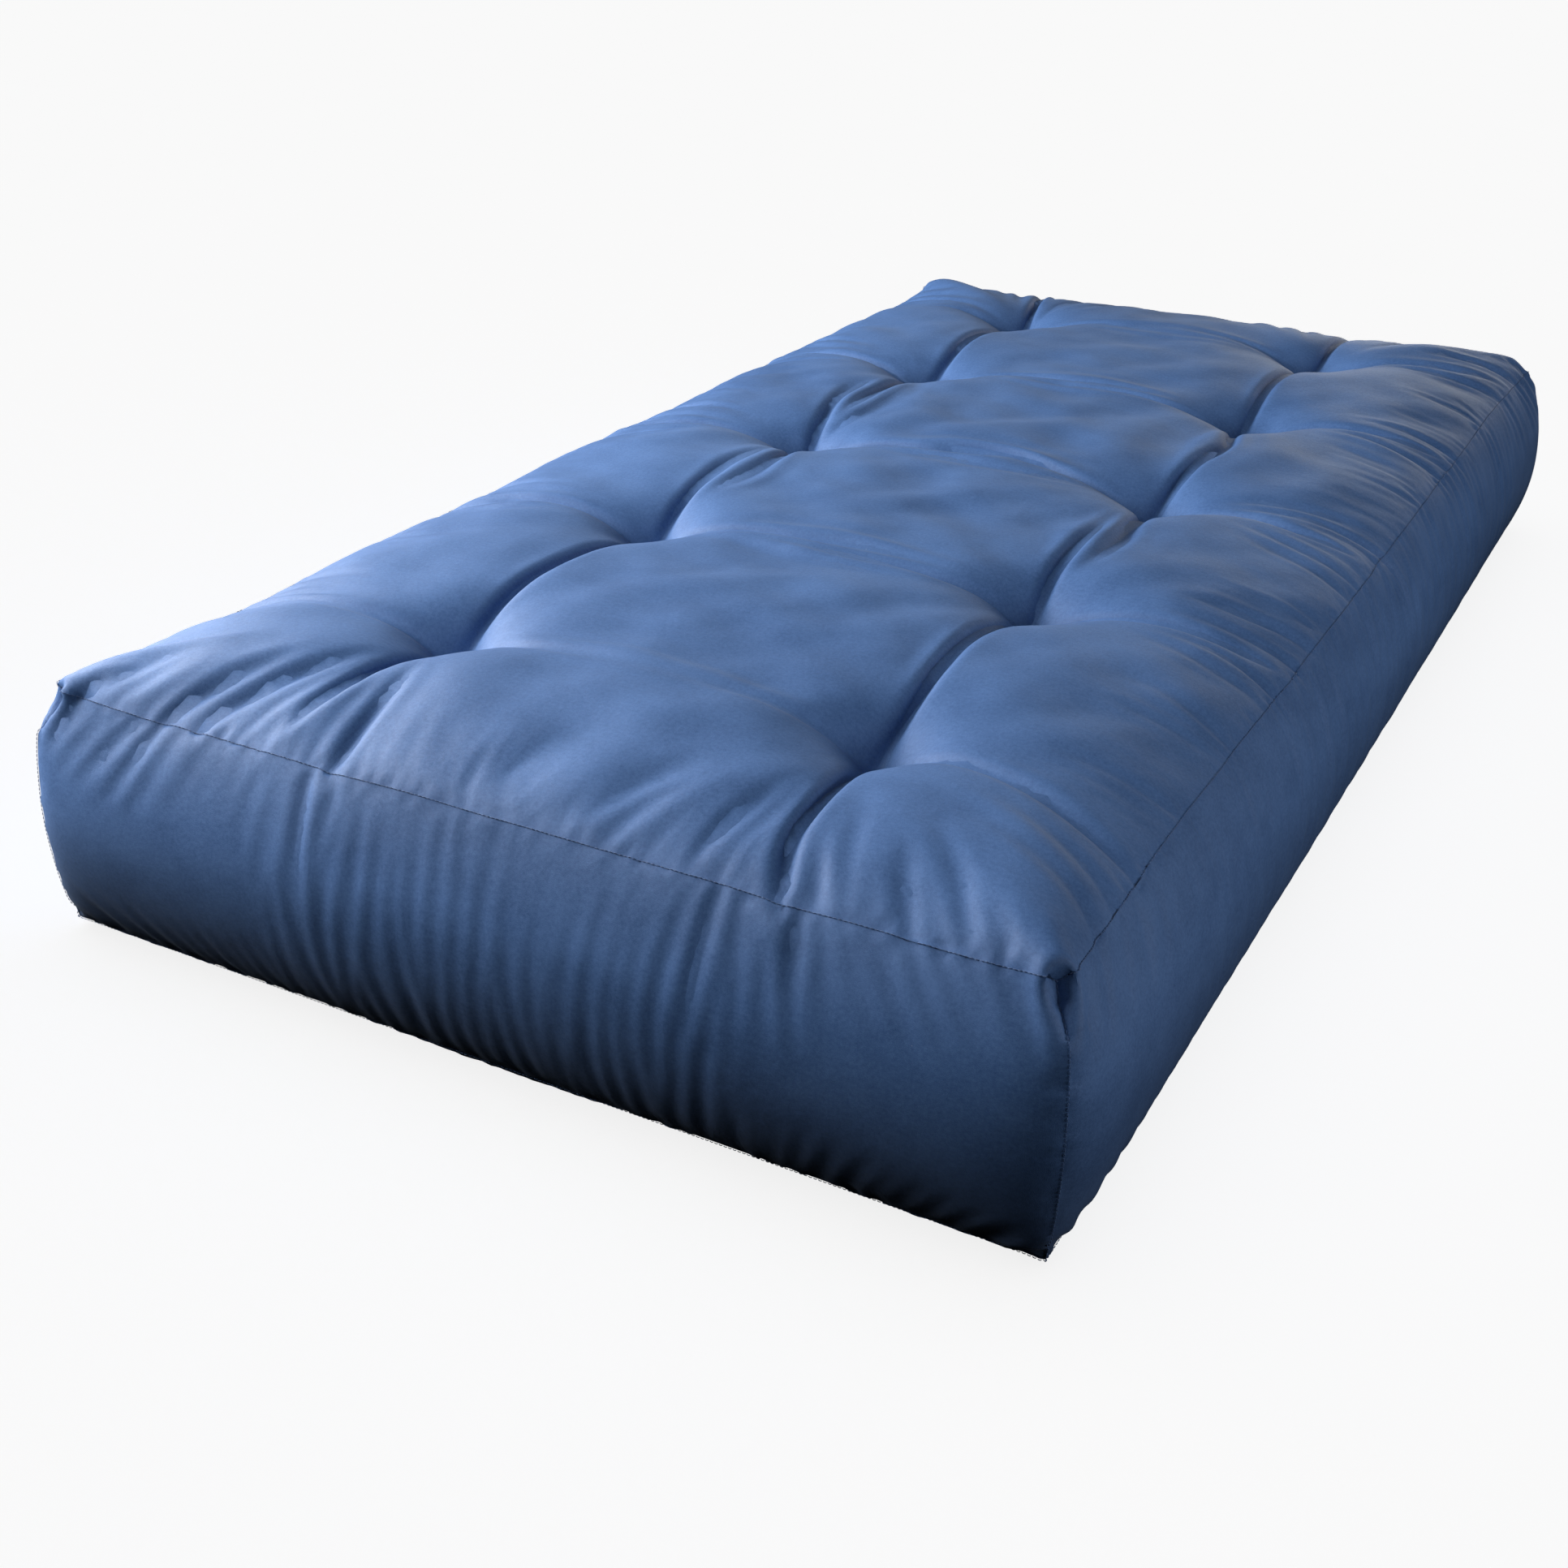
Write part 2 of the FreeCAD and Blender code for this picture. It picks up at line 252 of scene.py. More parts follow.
class Panel:
    """One piece of cover cloth. points is (3, n, m): coordinates by grid column and grid row."""

    def __init__(self, cells, cut, outward, fed=False):
        self.cut, self.outward, self.fed = cut, outward, fed
        self.points = np.zeros((3, cells[0] + 1, cells[1] + 1), np.float32)
        self.speed = np.zeros_like(self.points)

    @property
    def spacing(self):
        return self.cut[0] / (self.points.shape[1] - 1), self.cut[1] / (self.points.shape[2] - 1)

    def thread_grid(self):
        """The cut length of every thread between grid points: across, along, and one diagonal a cell."""
        a, b = self.shares()
        across, along = (np.full(a.shape, s) for s in self.spacing)
        if self.fed:
            to_end = np.minimum(b, 1 - b) * self.cut[1] / END_WIDTH
            to_side = np.minimum(a, 1 - a) * self.cut[0] / SIDE_WIDTH
            across = across * (1 + END_EASE * np.clip(1 - to_end, 0, 1))
            along = along * (1 + SIDE_EASE * np.clip(1 - to_side, 0, 1))
        across, along = (across[1:] + across[:-1]) / 2, (along[:, 1:] + along[:, :-1]) / 2
        diagonal = np.hypot((across[:, 1:] + across[:, :-1]) / 2, (along[1:] + along[:-1]) / 2)
        return [lengths.astype(np.float32) for lengths in (across, along, diagonal)]

    def shares(self):
        """How far along its two sides each grid point is, from 0 to 1."""
        ways = [np.linspace(0, 1, n) for n in self.points.shape[1:]]
        return np.meshgrid(*ways, indexing="ij")

    def normals(self):
        """Outward vectors, as long as the cloth around each point is stretched."""
        p = self.points
        rising, falling = p[:, 1:, 1:] - p[:, :-1, :-1], p[:, :-1, 1:] - p[:, 1:, :-1]
        cell = np.stack([
            rising[1] * falling[2] - rising[2] * falling[1],
            rising[2] * falling[0] - rising[0] * falling[2],
            rising[0] * falling[1] - rising[1] * falling[0],
        ])
        cell *= self.outward / (8 * self.spacing[0] * self.spacing[1])
        total = np.zeros_like(p)
        for a in (slice(None, -1), slice(1, None)):
            for b in (slice(None, -1), slice(1, None)):
                total[:, a, b] += cell
        return total


def lay_out():
    """The six panels, stood up round the shape that they will be filled to."""
    wide, long = 2 * SEAM_X, 2 * SEAM_Y
    under = tuple((side + 2 * BOTTOM_OUT) * BOTTOM_EASE for side in (wide, long))
    made = {
        "top": Panel((CELLS_X, CELLS_Y), (wide * EASE_X, long * EASE_Y), 1, fed=True),
        "bottom": Panel((CELLS_X, CELLS_Y), under, -1),
    }
    strips = (("front", CELLS_X, wide, 1), ("rear", CELLS_X, wide, -1))
    strips += (("left", CELLS_Y, long, -1), ("right", CELLS_Y, long, 1))
    for name, cells, run, outward in strips:
        made[name] = Panel((cells, CELLS_Z), (run * STRIP_EASE, STRIP_HEIGHT), outward)
    for name, panel in made.items():
        a, b = panel.shares()
        across, along, side_run = (2 * a - 1) * SEAM_X, (2 * b - 1) * SEAM_Y, (2 * a - 1) * SEAM_Y
        height = BOTTOM_SEAM_Z + (TOP_SEAM_Z - BOTTOM_SEAM_Z) * b
        swell = BULGE * 4 * b * (1 - b)
        dome = (1 - (2 * a - 1) ** 6) * (1 - (2 * b - 1) ** 8)
        panel.points[:] = {
            "top": (across, along, TOP_SEAM_Z + (CROWN_Z - TOP_SEAM_Z) * dome),
            "bottom": (across, along, BOTTOM_SEAM_Z * (1 - dome)),
            "front": (across, -SEAM_Y - swell, height),
            "rear": (across, SEAM_Y + swell, height),
            "left": (-SEAM_X - swell, side_run, height),
            "right": (SEAM_X + swell, side_run, height),
        }[name]
    return made


panels = lay_out()
print("cut sizes (m):", {name: tuple(round(s, 3) for s in p.cut) for name, p in panels.items()})

# %% [markdown]
# ## Sewing
# A seam makes two edges one line. Its thread is shorter than the cloth it holds, and never evenly so,
# which is why a sewn edge puckers and why no two puckers are alike. The same waves of chance are used
# in all three rounds, so that a finer round refines the folds of the one before.

# %% Seams and their thread
ALL = slice(None)
SEAMS = []  # panel and its edge, and the panel and edge that they are sewn to
for level, end in (("top", -1), ("bottom", 0)):
    for strip, edge in (("front", (ALL, 0)), ("rear", (ALL, -1)), ("left", (0, ALL)), ("right", (-1, ALL))):
        SEAMS.append((level, edge, strip, (ALL, end)))
for strip, at in (("front", 0), ("rear", -1)):
    for side, end in (("left", 0), ("right", -1)):
        SEAMS.append((strip, (end, ALL), side, (at, ALL)))
LEVEL_SEAMS = 8  # the first eight run level, and gather the cloth
SEAM_UNEVEN = 0.07
GATHER, GATHER_WIDTH, GATHER_APART = 0.32, 0.018, 0.17  # where the thread was pulled up short
SEAM_REACH = (1, 2, 3)  # grid lines either side that a seam's allowance keeps flat
SEAM_STIFFNESS, SEAM_FLATNESS = 0.7, 0.985
SEAM_PULL, SEAM_PUSH = 0.9, 0.3


def chance_waves(seed, across, along, shortest, longest, count=24):
    """Smooth noise of about unit size: waves in random directions, between two wavelengths."""
    rng = np.random.default_rng(seed)
    total = np.zeros(np.shape(across))
    for length in np.exp(rng.uniform(math.log(shortest), math.log(longest), count)):
        turn, phase = rng.uniform(0, 2 * math.pi, 2)
        total += np.cos(math.tau * (across * math.cos(turn) + along * math.sin(turn)) / length + phase)
    return total / math.sqrt(count / 2)


def beside(edge, reach=0):
    """The grid line that runs beside an edge, reach lines in."""
    return (ALL, *(e if e == ALL else (reach if e == 0 else -1 - reach) for e in edge))


def thread_lengths():
    """The rest length of each seam's thread between neighbouring grid points."""
    lengths = []
    for number, (name, edge, _, _) in enumerate(SEAMS[:LEVEL_SEAMS]):
        points = panels[name].points[beside(edge)].shape[1] - 1
        whole = 2 * (SEAM_X if edge[0] == ALL else SEAM_Y) + (0 if name == "top" else 2 * BOTTOM_OUT)
        at = (np.arange(points) + 0.5) / points * whole
        shares = 1 + SEAM_UNEVEN * chance_waves(40 + number, at, 0 * at, 0.03, 0.35)
        spots = np.arange(0.5, whole / GATHER_APART) * GATHER_APART
        spots += np.random.default_rng(50 + number).uniform(-0.4, 0.4, len(spots)) * GATHER_APART
        for spot in spots:
            shares -= GATHER * np.exp(-((at - spot) / GATHER_WIDTH) ** 2)
        lengths.append((whole * shares / shares.sum()).astype(np.float32))
    return lengths


def draw(a, b, rest, pull, push):
    """Moves pairs of points towards the distance rest: pull if they are too far, push if too near."""
    apart = b - a
    length = np.sqrt((apart * apart).sum(axis=0))
    slack = 1 - rest / np.maximum(length, 1e-6)
    slack *= np.where(slack > 0, np.float32(pull / 2), np.float32(push / 2))
    apart *= slack
    a += apart
    b -= apart


def sew(threads):
    """Brings the two edges of each seam together, and draws the thread in."""
    for number, (name_a, edge_a, name_b, edge_b) in enumerate(SEAMS):
        line_a, line_b = beside(edge_a), beside(edge_b)
        line = (panels[name_a].points[line_a] + panels[name_b].points[line_b]) / 2
        if number < LEVEL_SEAMS:
            for first in (0, 1):
                near, far = line[:, first:-1:2], line[:, first + 1::2]
                draw(near, far, threads[number][first::2], SEAM_PULL, SEAM_PUSH)
        panels[name_a].points[line_a] = line
        panels[name_b].points[line_b] = line
        if name_a == "top":
            press_open(((name_a, edge_a), (name_b, edge_b)))


def press_open(seam):
    """Keeps the cloth flat across a seam, as its two turned-in allowances do."""
    for reach in SEAM_REACH:
        sides = [panels[name].points[beside(edge, reach)] for name, edge in seam]
        rest = sum(reach * panels[name].spacing[edge[0] == ALL] for name, edge in seam)
        draw(*sides, rest * SEAM_FLATNESS, 0, SEAM_STIFFNESS)


def settle_corners(hold):
    """Makes the three panels agree at each top corner, and keeps it near its place."""
    for x_end, side in ((0, "left"), (-1, "right")):
        for y_end, strip in ((0, "front"), (-1, "rear")):
            spots = [
                panels["top"].points[:, x_end, y_end],
                panels[strip].points[:, x_end, -1],
                panels[side].points[:, y_end, -1],
            ]
            home = (SEAM_X if x_end else -SEAM_X, SEAM_Y if y_end else -SEAM_Y, TOP_SEAM_Z)
            mean = sum(spots) / 3
            mean = mean + hold * (np.array(home) - mean)
            for spot in spots:
                spot[:] = mean


def ground():
    """Puts the bottom seam back where the mattress rests on it."""
    for name, edge, strip, _ in SEAMS[4:LEVEL_SEAMS]:
        way = 0 if edge[0] == ALL else 1
        half = (SEAM_X + BOTTOM_OUT, SEAM_Y + BOTTOM_OUT)
        edge = beside(edge)
        line = np.zeros((3, panels[name].points[edge].shape[1]))
        line[way] = np.linspace(-1, 1, line.shape[1]) * half[way]
        line[1 - way] = half[1 - way] * (1 if -1 in edge[1:] else -1)
        line[2] = BOTTOM_SEAM_Z
        panels[name].points[edge] = line
        panels[strip].points[:, :, 0] = line


# %% [markdown]
# ## Filling
# Batting pushes outwards, and pushes harder the more it is squeezed. It has a height that it would
# reach by itself, its loft, where its push is nothing. That one rule gives full pillows with flat
# tops, steep walls at the tufts, and slack cloth that wrinkles where the filling no longer fills it.
# Real batting is lumpy and thins towards the edges, so the loft varies too.

# %% The filling's push
LOFT = 0.286
LOFT_EDGE_DROP, LOFT_EDGE_WIDTH = 0.032, 0.19
LUMP = 0.003
TOP_PUSH, TOP_SOFTNESS, TOP_PUSH_LIMIT = 0.00034, 0.050, 3.0
SIDE_PUSH, SIDE_SOFTNESS, SIDE_PUSH_LIMIT = 0.0005, 0.030, 1.6
SIDE_LOFT, WAIST_Z, WAIST_HALF = 0.042, 0.130, 0.128  # the sides swell most at their waist
LEAST_PUSH = -0.6  # past its loft the cloth is drawn back, as by its own weight
PUSH_UNEVEN = 0.12


def filling_push(name, panel):
    """A function that gives how far the filling moves each point of a panel outwards in one step."""
    a, b = panel.shares()
    across, along = (a - 0.5) * panel.cut[0], (b - 0.5) * panel.cut[1]
    seed = sorted(panels).index(name)
    uneven = 1 + PUSH_UNEVEN * chance_waves(60 + seed, across, along, 0.02, 0.12)
    if name in ("top", "bottom"):
        inset = np.minimum((0.5 - abs(a - 0.5)) * panel.cut[0], (0.5 - abs(b - 0.5)) * panel.cut[1])
        edge = (1 - np.clip(inset / LOFT_EDGE_WIDTH, 0, 1)) ** 2
        loft = LOFT - LOFT_EDGE_DROP * edge + LUMP * chance_waves(80 + seed, across, along, 0.06, 0.3)

    def push(points):
        if name == "top":
            squeeze = np.clip((loft - points[2]) / TOP_SOFTNESS, LEAST_PUSH, TOP_PUSH_LIMIT)
            return TOP_PUSH * squeeze * uneven
        if name == "bottom":
            return TOP_PUSH * np.clip(1 + points[2] / TOP_SOFTNESS, 0, TOP_PUSH_LIMIT) * uneven
        out = np.maximum(abs(points[0]) - SEAM_X, abs(points[1]) - SEAM_Y)
        side_loft = SIDE_LOFT * (1 - ((points[2] - WAIST_Z) / WAIST_HALF) ** 2)
        side_loft += BOTTOM_OUT * np.clip(1 - points[2] / TOP_SEAM_Z, 0, 1)
        squeeze = np.clip((side_loft - out) / SIDE_SOFTNESS, LEAST_PUSH, SIDE_PUSH_LIMIT)
        return SIDE_PUSH * squeeze * uneven

    return push


# %% [markdown]
# ## Tying the tufts
# Each twine holds one point of the sleeping face down, and under the mattress a felt pad spreads
# its pull over a small disc. In the first round the twines are drawn down slowly, as by hand.

# %% Where the twines hold the cloth
TWINE_RADIUS, STRAND_GAP = 0.001, 0.008
TUFT_TOP_Z = float(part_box("tuft_twine_left_1")[1][2]) - TWINE_RADIUS - STRAND_GAP / 2
PAD_HOLD = float(pad_half[0])


def tied_points(panel, at_pad):
    """The grid points that twines hold on a panel, as (column, row, x, y) lists."""
    scale = (panel.points.shape[1] - 1) // CELLS_X
    held = []
    for x, y, _ in TUFTS.values():
        column = round((x / SEAM_X + 1) / 2 * CELLS_X) * scale
        row = round((y / SEAM_Y + 1) / 2 * CELLS_Y) * scale
        reach = int(PAD_HOLD / panel.spacing[0]) if at_pad else 0
        for i in range(-reach, reach + 1):
            for j in range(-reach, reach + 1):
                if i * i + j * j <= reach * reach:
                    held.append((column + i, row + j, x + i * panel.spacing[0], y + j * panel.spacing[1]))
    return [np.array(v) for v in zip(*held)]


# %% [markdown]
# ## Letting it settle
# This is position-based dynamics. In each step the filling pushes every point, and then each thread
# of the cloth is put back to its cut length a few times over. Threads that share no point are moved
# together, so every line below works on thousands of them at once.

# %% One round
THREAD_PULL, THREAD_PUSH, SHEAR, BEND = 1.0, 0.8, 0.25, 0.04
DAMPING = 0.93
CORRECTIONS = 4
CORNER_HOLD = 0.3
CLOTH_THICKNESS = 0.0012
FLOOR_GAP = 0.0005
DRAW_DOWN_STEPS = 60


def correct(panel, lengths):
    """One pass over a panel's threads, diagonals and bends."""
    p = panel.points
    across, along, diagonal = lengths
    for first in (0, 1):
        odd, even, these = slice(first, -1, 2), slice(first + 1, None, 2), slice(first, None, 2)
        draw(p[:, odd], p[:, even], across[these], THREAD_PULL, THREAD_PUSH)
        draw(p[:, :, odd], p[:, :, even], along[:, these], THREAD_PULL, THREAD_PUSH)
        draw(p[:, odd, :-1], p[:, even, 1:], diagonal[these], SHEAR, SHEAR)
        draw(p[:, odd, 1:], p[:, even, :-1], diagonal[these], SHEAR, SHEAR)
    for first in range(4):
        ahead = p[:, first + 2::4]
        draw(p[:, first::4][:, :ahead.shape[1]], ahead, 2 * panel.spacing[0], 0, BEND)
        ahead = p[:, :, first + 2::4]
        draw(p[:, :, first::4][:, :, :ahead.shape[2]], ahead, 2 * panel.spacing[1], 0, BEND)


def settle(steps, push_scale, fastest, draw_down):
    """Runs one round."""
    threads = thread_lengths()
    lengths = {name: panel.thread_grid() for name, panel in panels.items()}
    pushes = {name: filling_push(name, panel) for name, panel in panels.items()}
    ties = {"top": tied_points(panels["top"], False), "bottom": tied_points(panels["bottom"], True)}
    start_z = {"top": CROWN_Z, "bottom": 0.0}
    end_z = {"top": TUFT_TOP_Z, "bottom": PAD_TOP_Z + CLOTH_THICKNESS}
    for step in range(steps):
        before = {}
        for name, panel in panels.items():
            push = pushes[name](panel.points) * push_scale
            panel.speed = (panel.speed + panel.normals() * push.astype(np.float32)) * DAMPING
            pace = np.sqrt((panel.speed ** 2).sum(axis=0))
            panel.speed *= np.minimum(1, fastest / np.maximum(pace, 1e-9))
            before[name] = panel.points.copy()
            panel.points += panel.speed
        share = min(1, (step + 1) / draw_down)
        for _ in range(CORRECTIONS):
            for name, panel in panels.items():
                correct(panel, lengths[name])
                if name in ties:
                    columns, rows, x, y = ties[name]
                    panel.points[0, columns, rows] = x
                    panel.points[1, columns, rows] = y
                    panel.points[2, columns, rows] = start_z[name] + share * (end_z[name] - start_z[name])
                np.maximum(panel.points[2], FLOOR_GAP, out=panel.points[2])
            sew(threads)
            settle_corners(CORNER_HOLD)
            ground()
        for name, panel in panels.items():
            panel.speed = panel.points - before[name]
    return max(float(np.abs(p.speed).max()) for p in panels.values())


def halved(points, axis):
    """A grid with a new point between each two along an axis, on a smooth curve through them."""
    p = np.moveaxis(points, axis, 0)
    ends = np.concatenate([2 * p[:1] - p[1:2], p, 2 * p[-1:] - p[-2:-1]])
    finer = np.zeros((2 * len(p) - 1, *p.shape[1:]), np.float32)
    finer[::2] = p
    finer[1::2] = (9 * (ends[1:-2] + ends[2:-1]) - ends[:-3] - ends[3:]) / 16
    return np.moveaxis(finer, 0, axis)


def relaxed(points, passes):
    """A grid with its smallest creases eased out, as the cloth's thickness does. Its edges stay."""
    for _ in range(passes):
        around = points[:, 2:, 1:-1] + points[:, :-2, 1:-1] + points[:, 1:-1, 2:] + points[:, 1:-1, :-2]
        points[:, 1:-1, 1:-1] += 0.5 * (around / 4 - points[:, 1:-1, 1:-1])
    return points


# %% Three rounds
ROUND_STEPS = (240, 140, 80)
EASING_PASSES = 4
FASTEST = (0.004, 0.002, 0.001)
SEED_ROUGHNESS = 0.0002  # a little chance in each new round starts its smaller folds
clock = time.time()
for number in range(ROUNDS):
    if number:
        for panel in panels.values():
            panel.points = relaxed(halved(halved(panel.points, 1), 2), 2)
            panel.points += random.normal(0, SEED_ROUGHNESS, panel.points.shape).astype(np.float32)
            panel.speed = np.zeros_like(panel.points)
    draw_down = DRAW_DOWN_STEPS if number == 0 else 1
    fastest = settle(ROUND_STEPS[number], 0.5 ** number, FASTEST[number], draw_down)
    count = sum(p.points[0].size for p in panels.values())
    taken = time.time() - clock
    print(f"round {number + 1}: {count} points, moving {1000 * fastest:.2f} mm a step, {taken:.0f} s")
for panel in panels.values():
    panel.points = relaxed(panel.points, EASING_PASSES)

# %% [markdown]
# ## Seam allowances and puckers
# Behind a plain seam the cloth is turned in, so the seam lies in a small groove. Between two stitches
# the cloth stands up a little and at a stitch it is held down, which gives the fine puckers on both
# sides. They are smaller than the last round could find, so they are added here along the normals.

# %% The groove and the puckers
GROOVE = 0.0002
PUCKER, PUCKER_SHORT, PUCKER_LONG = 0.0006, 0.012, 0.040
PUCKER_FADE = 1.3  # grid lines


def unit(vectors):
    return vectors / np.maximum(np.sqrt((vectors ** 2).sum(axis=0)), 1e-9)


def sink_seams():
    outward = {}
    for number, (name_a, edge_a, name_b, edge_b) in enumerate(SEAMS):
        for name, edge in ((name_a, edge_a), (name_b, edge_b)):
            panel = panels[name]
            normals = unit(panel.normals())
            edge_normals = normals[beside(edge)]
            outward[number] = outward.get(number, 0) + edge_normals
            at = np.arange(edge_normals.shape[1]) * max(panel.spacing)
            for reach in SEAM_REACH:
                waves = chance_waves(100 + 7 * number + len(name), at, 0 * at, PUCKER_SHORT, PUCKER_LONG, 40)
                size = PUCKER * math.exp((1 - reach) / PUCKER_FADE)
                line = beside(edge, reach)
                panel.points[line] += normals[line] * (size * waves).astype(np.float32)
    for number, (name_a, edge_a, name_b, edge_b) in enumerate(SEAMS):
        outward[number] = unit(outward[number])
        line = panels[name_a].points[beside(edge_a)] - GROOVE * outward[number]
        line[2] = np.maximum(line[2], FLOOR_GAP)
        panels[name_a].points[beside(edge_a)] = line
        panels[name_b].points[beside(edge_b)] = line
    return outward


seam_outward = sink_seams()
print("top seam now runs at", [round(float(v), 4) for v in panels["top"].points[2, ::CELLS_X, 0]])

# %% [markdown]
# ## From grids to cloth
# Each settled grid becomes a closed piece of cloth. The outer face keeps every point. The inner face,
# which nobody sees, keeps every fourth, and many-sided faces round the rim join the two.

# %% A panel as a mesh
INNER_STEP = 2 ** (ROUNDS - 1)
RIM_ANGLE = 70  # a fold sharper than this many degrees is a cut edge, and is not shaded smooth


def grid_faces(ids, outward):
    """Four-sided faces over a grid of vertex numbers."""
    faces = np.stack([ids[:-1, :-1], ids[1:, :-1], ids[1:, 1:], ids[:-1, 1:]], axis=-1).reshape(-1, 4)
    return (faces if outward > 0 else faces[:, ::-1]).tolist()


def rim_faces(outer, inner, outward):
    """Faces that join the edge of a fine grid to the edge of a coarser one beneath it."""
    faces = []
    edges = (((ALL, 0), 1), ((-1, ALL), 1), ((ALL, -1), -1), ((0, ALL), -1))
    for edge, way in edges:
        fine, coarse = outer[edge].tolist(), inner[edge].tolist()
        for k in range(len(coarse) - 1):
            face = [*fine[k * INNER_STEP:(k + 1) * INNER_STEP + 1][::-1], coarse[k], coarse[k + 1]]
            faces.append(face if way * outward > 0 else face[::-1])
    return faces


def add_object(name, mesh):
    made = bpy.data.objects.new(name, mesh)
    bpy.context.collection.objects.link(made)
    return made


def solid_object(name, vertices, faces):
    """A smooth-shaded object from vertices and faces, with a printed check that it is closed."""
    mesh = bpy.data.meshes.new(name)
    mesh.from_pydata(np.asarray(vertices).tolist(), [], faces)
    mesh.shade_smooth()
    shape = bmesh.new()
    shape.from_mesh(mesh)
    torn = sum(not (edge.is_manifold and edge.is_contiguous) for edge in shape.edges)
    litres = 1000 * shape.calc_volume(signed=True)
    print(f"{name}: {len(mesh.polygons)} faces, {litres:.3f} l, {torn} torn edges")
    shape.free()
    return add_object(name, mesh)


def cloth_object(name, panel):
    """The panel as closed cloth, with a UV map in metres of cloth."""
    inner = panel.points - unit(panel.normals()) * CLOTH_THICKNESS
    inner = inner[:, ::INNER_STEP, ::INNER_STEP]
    outer_ids = np.arange(panel.points[0].size).reshape(panel.points.shape[1:])
    inner_ids = outer_ids.size + np.arange(inner[0].size).reshape(inner.shape[1:])
    vertices = np.concatenate([panel.points.reshape(3, -1).T, inner.reshape(3, -1).T])
    faces = grid_faces(outer_ids, panel.outward) + grid_faces(inner_ids, -panel.outward)
    faces += rim_faces(outer_ids, inner_ids, panel.outward)
    piece = solid_object(name, vertices, faces)
    piece.data.set_sharp_from_angle(angle=math.radians(RIM_ANGLE))
    flat = np.stack(panel.shares(), axis=-1) * panel.cut
    flat = np.concatenate([flat.reshape(-1, 2), flat[::INNER_STEP, ::INNER_STEP].reshape(-1, 2)])
    corners = np.zeros(len(piece.data.loops), np.int32)
    piece.data.loops.foreach_get("vertex_index", corners)
    weave = piece.data.uv_layers.new(name="weave")
    weave.data.foreach_set("uv", flat[corners].astype(np.float32).ravel())
    return piece


# %% The six panels of the cover
cover = {name: cloth_object(f"cover_{name}", panel) for name, panel in panels.items()}

# %% [markdown]
# ## Seven layers of filling
# Nobody sees the filling, but it is what holds the cover up: cotton batting top and bottom, foam in
# between, and more batting round the foam. Each layer is a slice of the room inside the cover, so
# every layer dips at the tufts and swells at the sides as the cloth does. The faces between two
# layers are shared, less a hair's breadth, so none cuts through another.

# %% The room inside the cover
CLEARANCE = 0.006  # between the cloth's deepest folds and the filling
SWELL_FADE = 0.12  # how far in from the sides their swell is felt


def deepest(grid, reach):
    """The lowest value within reach points of each point."""
    for axis in (0, 1):
        padded = np.pad(grid, [(reach, reach) if a == axis else (0, 0) for a in (0, 1)], mode="edge")
        rolls = [np.roll(padded, k, axis) for k in range(-reach, reach + 1)]
        grid = np.minimum.reduce(rolls).take(range(reach, reach + grid.shape[axis]), axis)
    return grid


def filling_room():
    """The ceiling and floor of the room, and how its four sides swell, as coarse grids."""
    coarse = slice(None, None, INNER_STEP)
    ceiling, floor = (panels[name].points.astype(float) for name in ("top", "bottom"))
    ceiling[2] = deepest(ceiling[2], INNER_STEP + 1) - CLEARANCE
    floor[2] = -deepest(-floor[2], INNER_STEP + 1) + CLEARANCE
    shrink = np.array([1 - 2 * CLEARANCE / SEAM_X, 1 - 2 * CLEARANCE / SEAM_Y, 1]).reshape(3, 1, 1)
    swells = {}
    for name, axis, way in (("front", 1, -1), ("rear", 1, 1), ("left", 0, -1), ("right", 0, 1)):
        limit = SEAM_Y if axis else SEAM_X
        out = deepest(way * panels[name].points[axis] - limit, INNER_STEP)[coarse, coarse]
        row = np.linspace(0, 1, out.shape[1])
        between_seams = out[:, :1] + (out[:, -1:] - out[:, :1]) * row
        swells[name] = (axis, way * np.maximum(out - between_seams - CLEARANCE, 0))
    return ceiling[:, coarse, coarse] * shrink, floor[:, coarse, coarse] * shrink, swells


ceiling, floor_of_room, swells = filling_room()


def level(share):
    """The surface that lies this share of the way from the room's floor to its ceiling."""
    surface = floor_of_room + share * (ceiling - floor_of_room)
    n, m = surface.shape[1:]
    from_left = np.linspace(0, 2 * SEAM_X, n)[:, None]
    from_front = np.linspace(0, 2 * SEAM_Y, m)[None, :]
    away = {"left": from_left, "right": from_left[::-1], "front": from_front, "rear": from_front[:, ::-1]}
    for name, (axis, swell) in swells.items():
        row = share * (swell.shape[1] - 1)
        low = min(int(row), swell.shape[1] - 2)
        bulge = swell[:, low] + (row - low) * (swell[:, low + 1] - swell[:, low])
        bulge = bulge[:, None] if axis else bulge[None, :]
        surface[axis] += bulge * np.clip(1 - away[name] / SWELL_FADE, 0, 1) ** 2
    return surface


# %% The layers
LAYERS = (
    "bottom_cotton_batting", "lower_foam_sheet", "lower_middle_batting", "core_foam_slab",
    "upper_middle_batting", "upper_foam_sheet", "top_cotton_batting",
)
LAYER_GAP = 0.0005
FLUFF = 0.0025
SIDE_ROWS = 4


def layer_face(number):
    """The face under layer number, with the batting's lumps in it."""
    inside = 0 < number < len(LAYERS)
    share = float(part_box(LAYERS[number])[0][2]) / CROWN_Z if inside else number // len(LAYERS)
    surface = level(share)
    if inside:
        surface[2] += FLUFF * chance_waves(200 + number, surface[0], surface[1], 0.05, 0.25)
    return share, surface


def ring_of(grid):
    """The border of a grid, once round."""
    return np.concatenate([grid[:-1, 0], grid[-1, :-1], grid[:0:-1, -1], grid[0, :0:-1]])


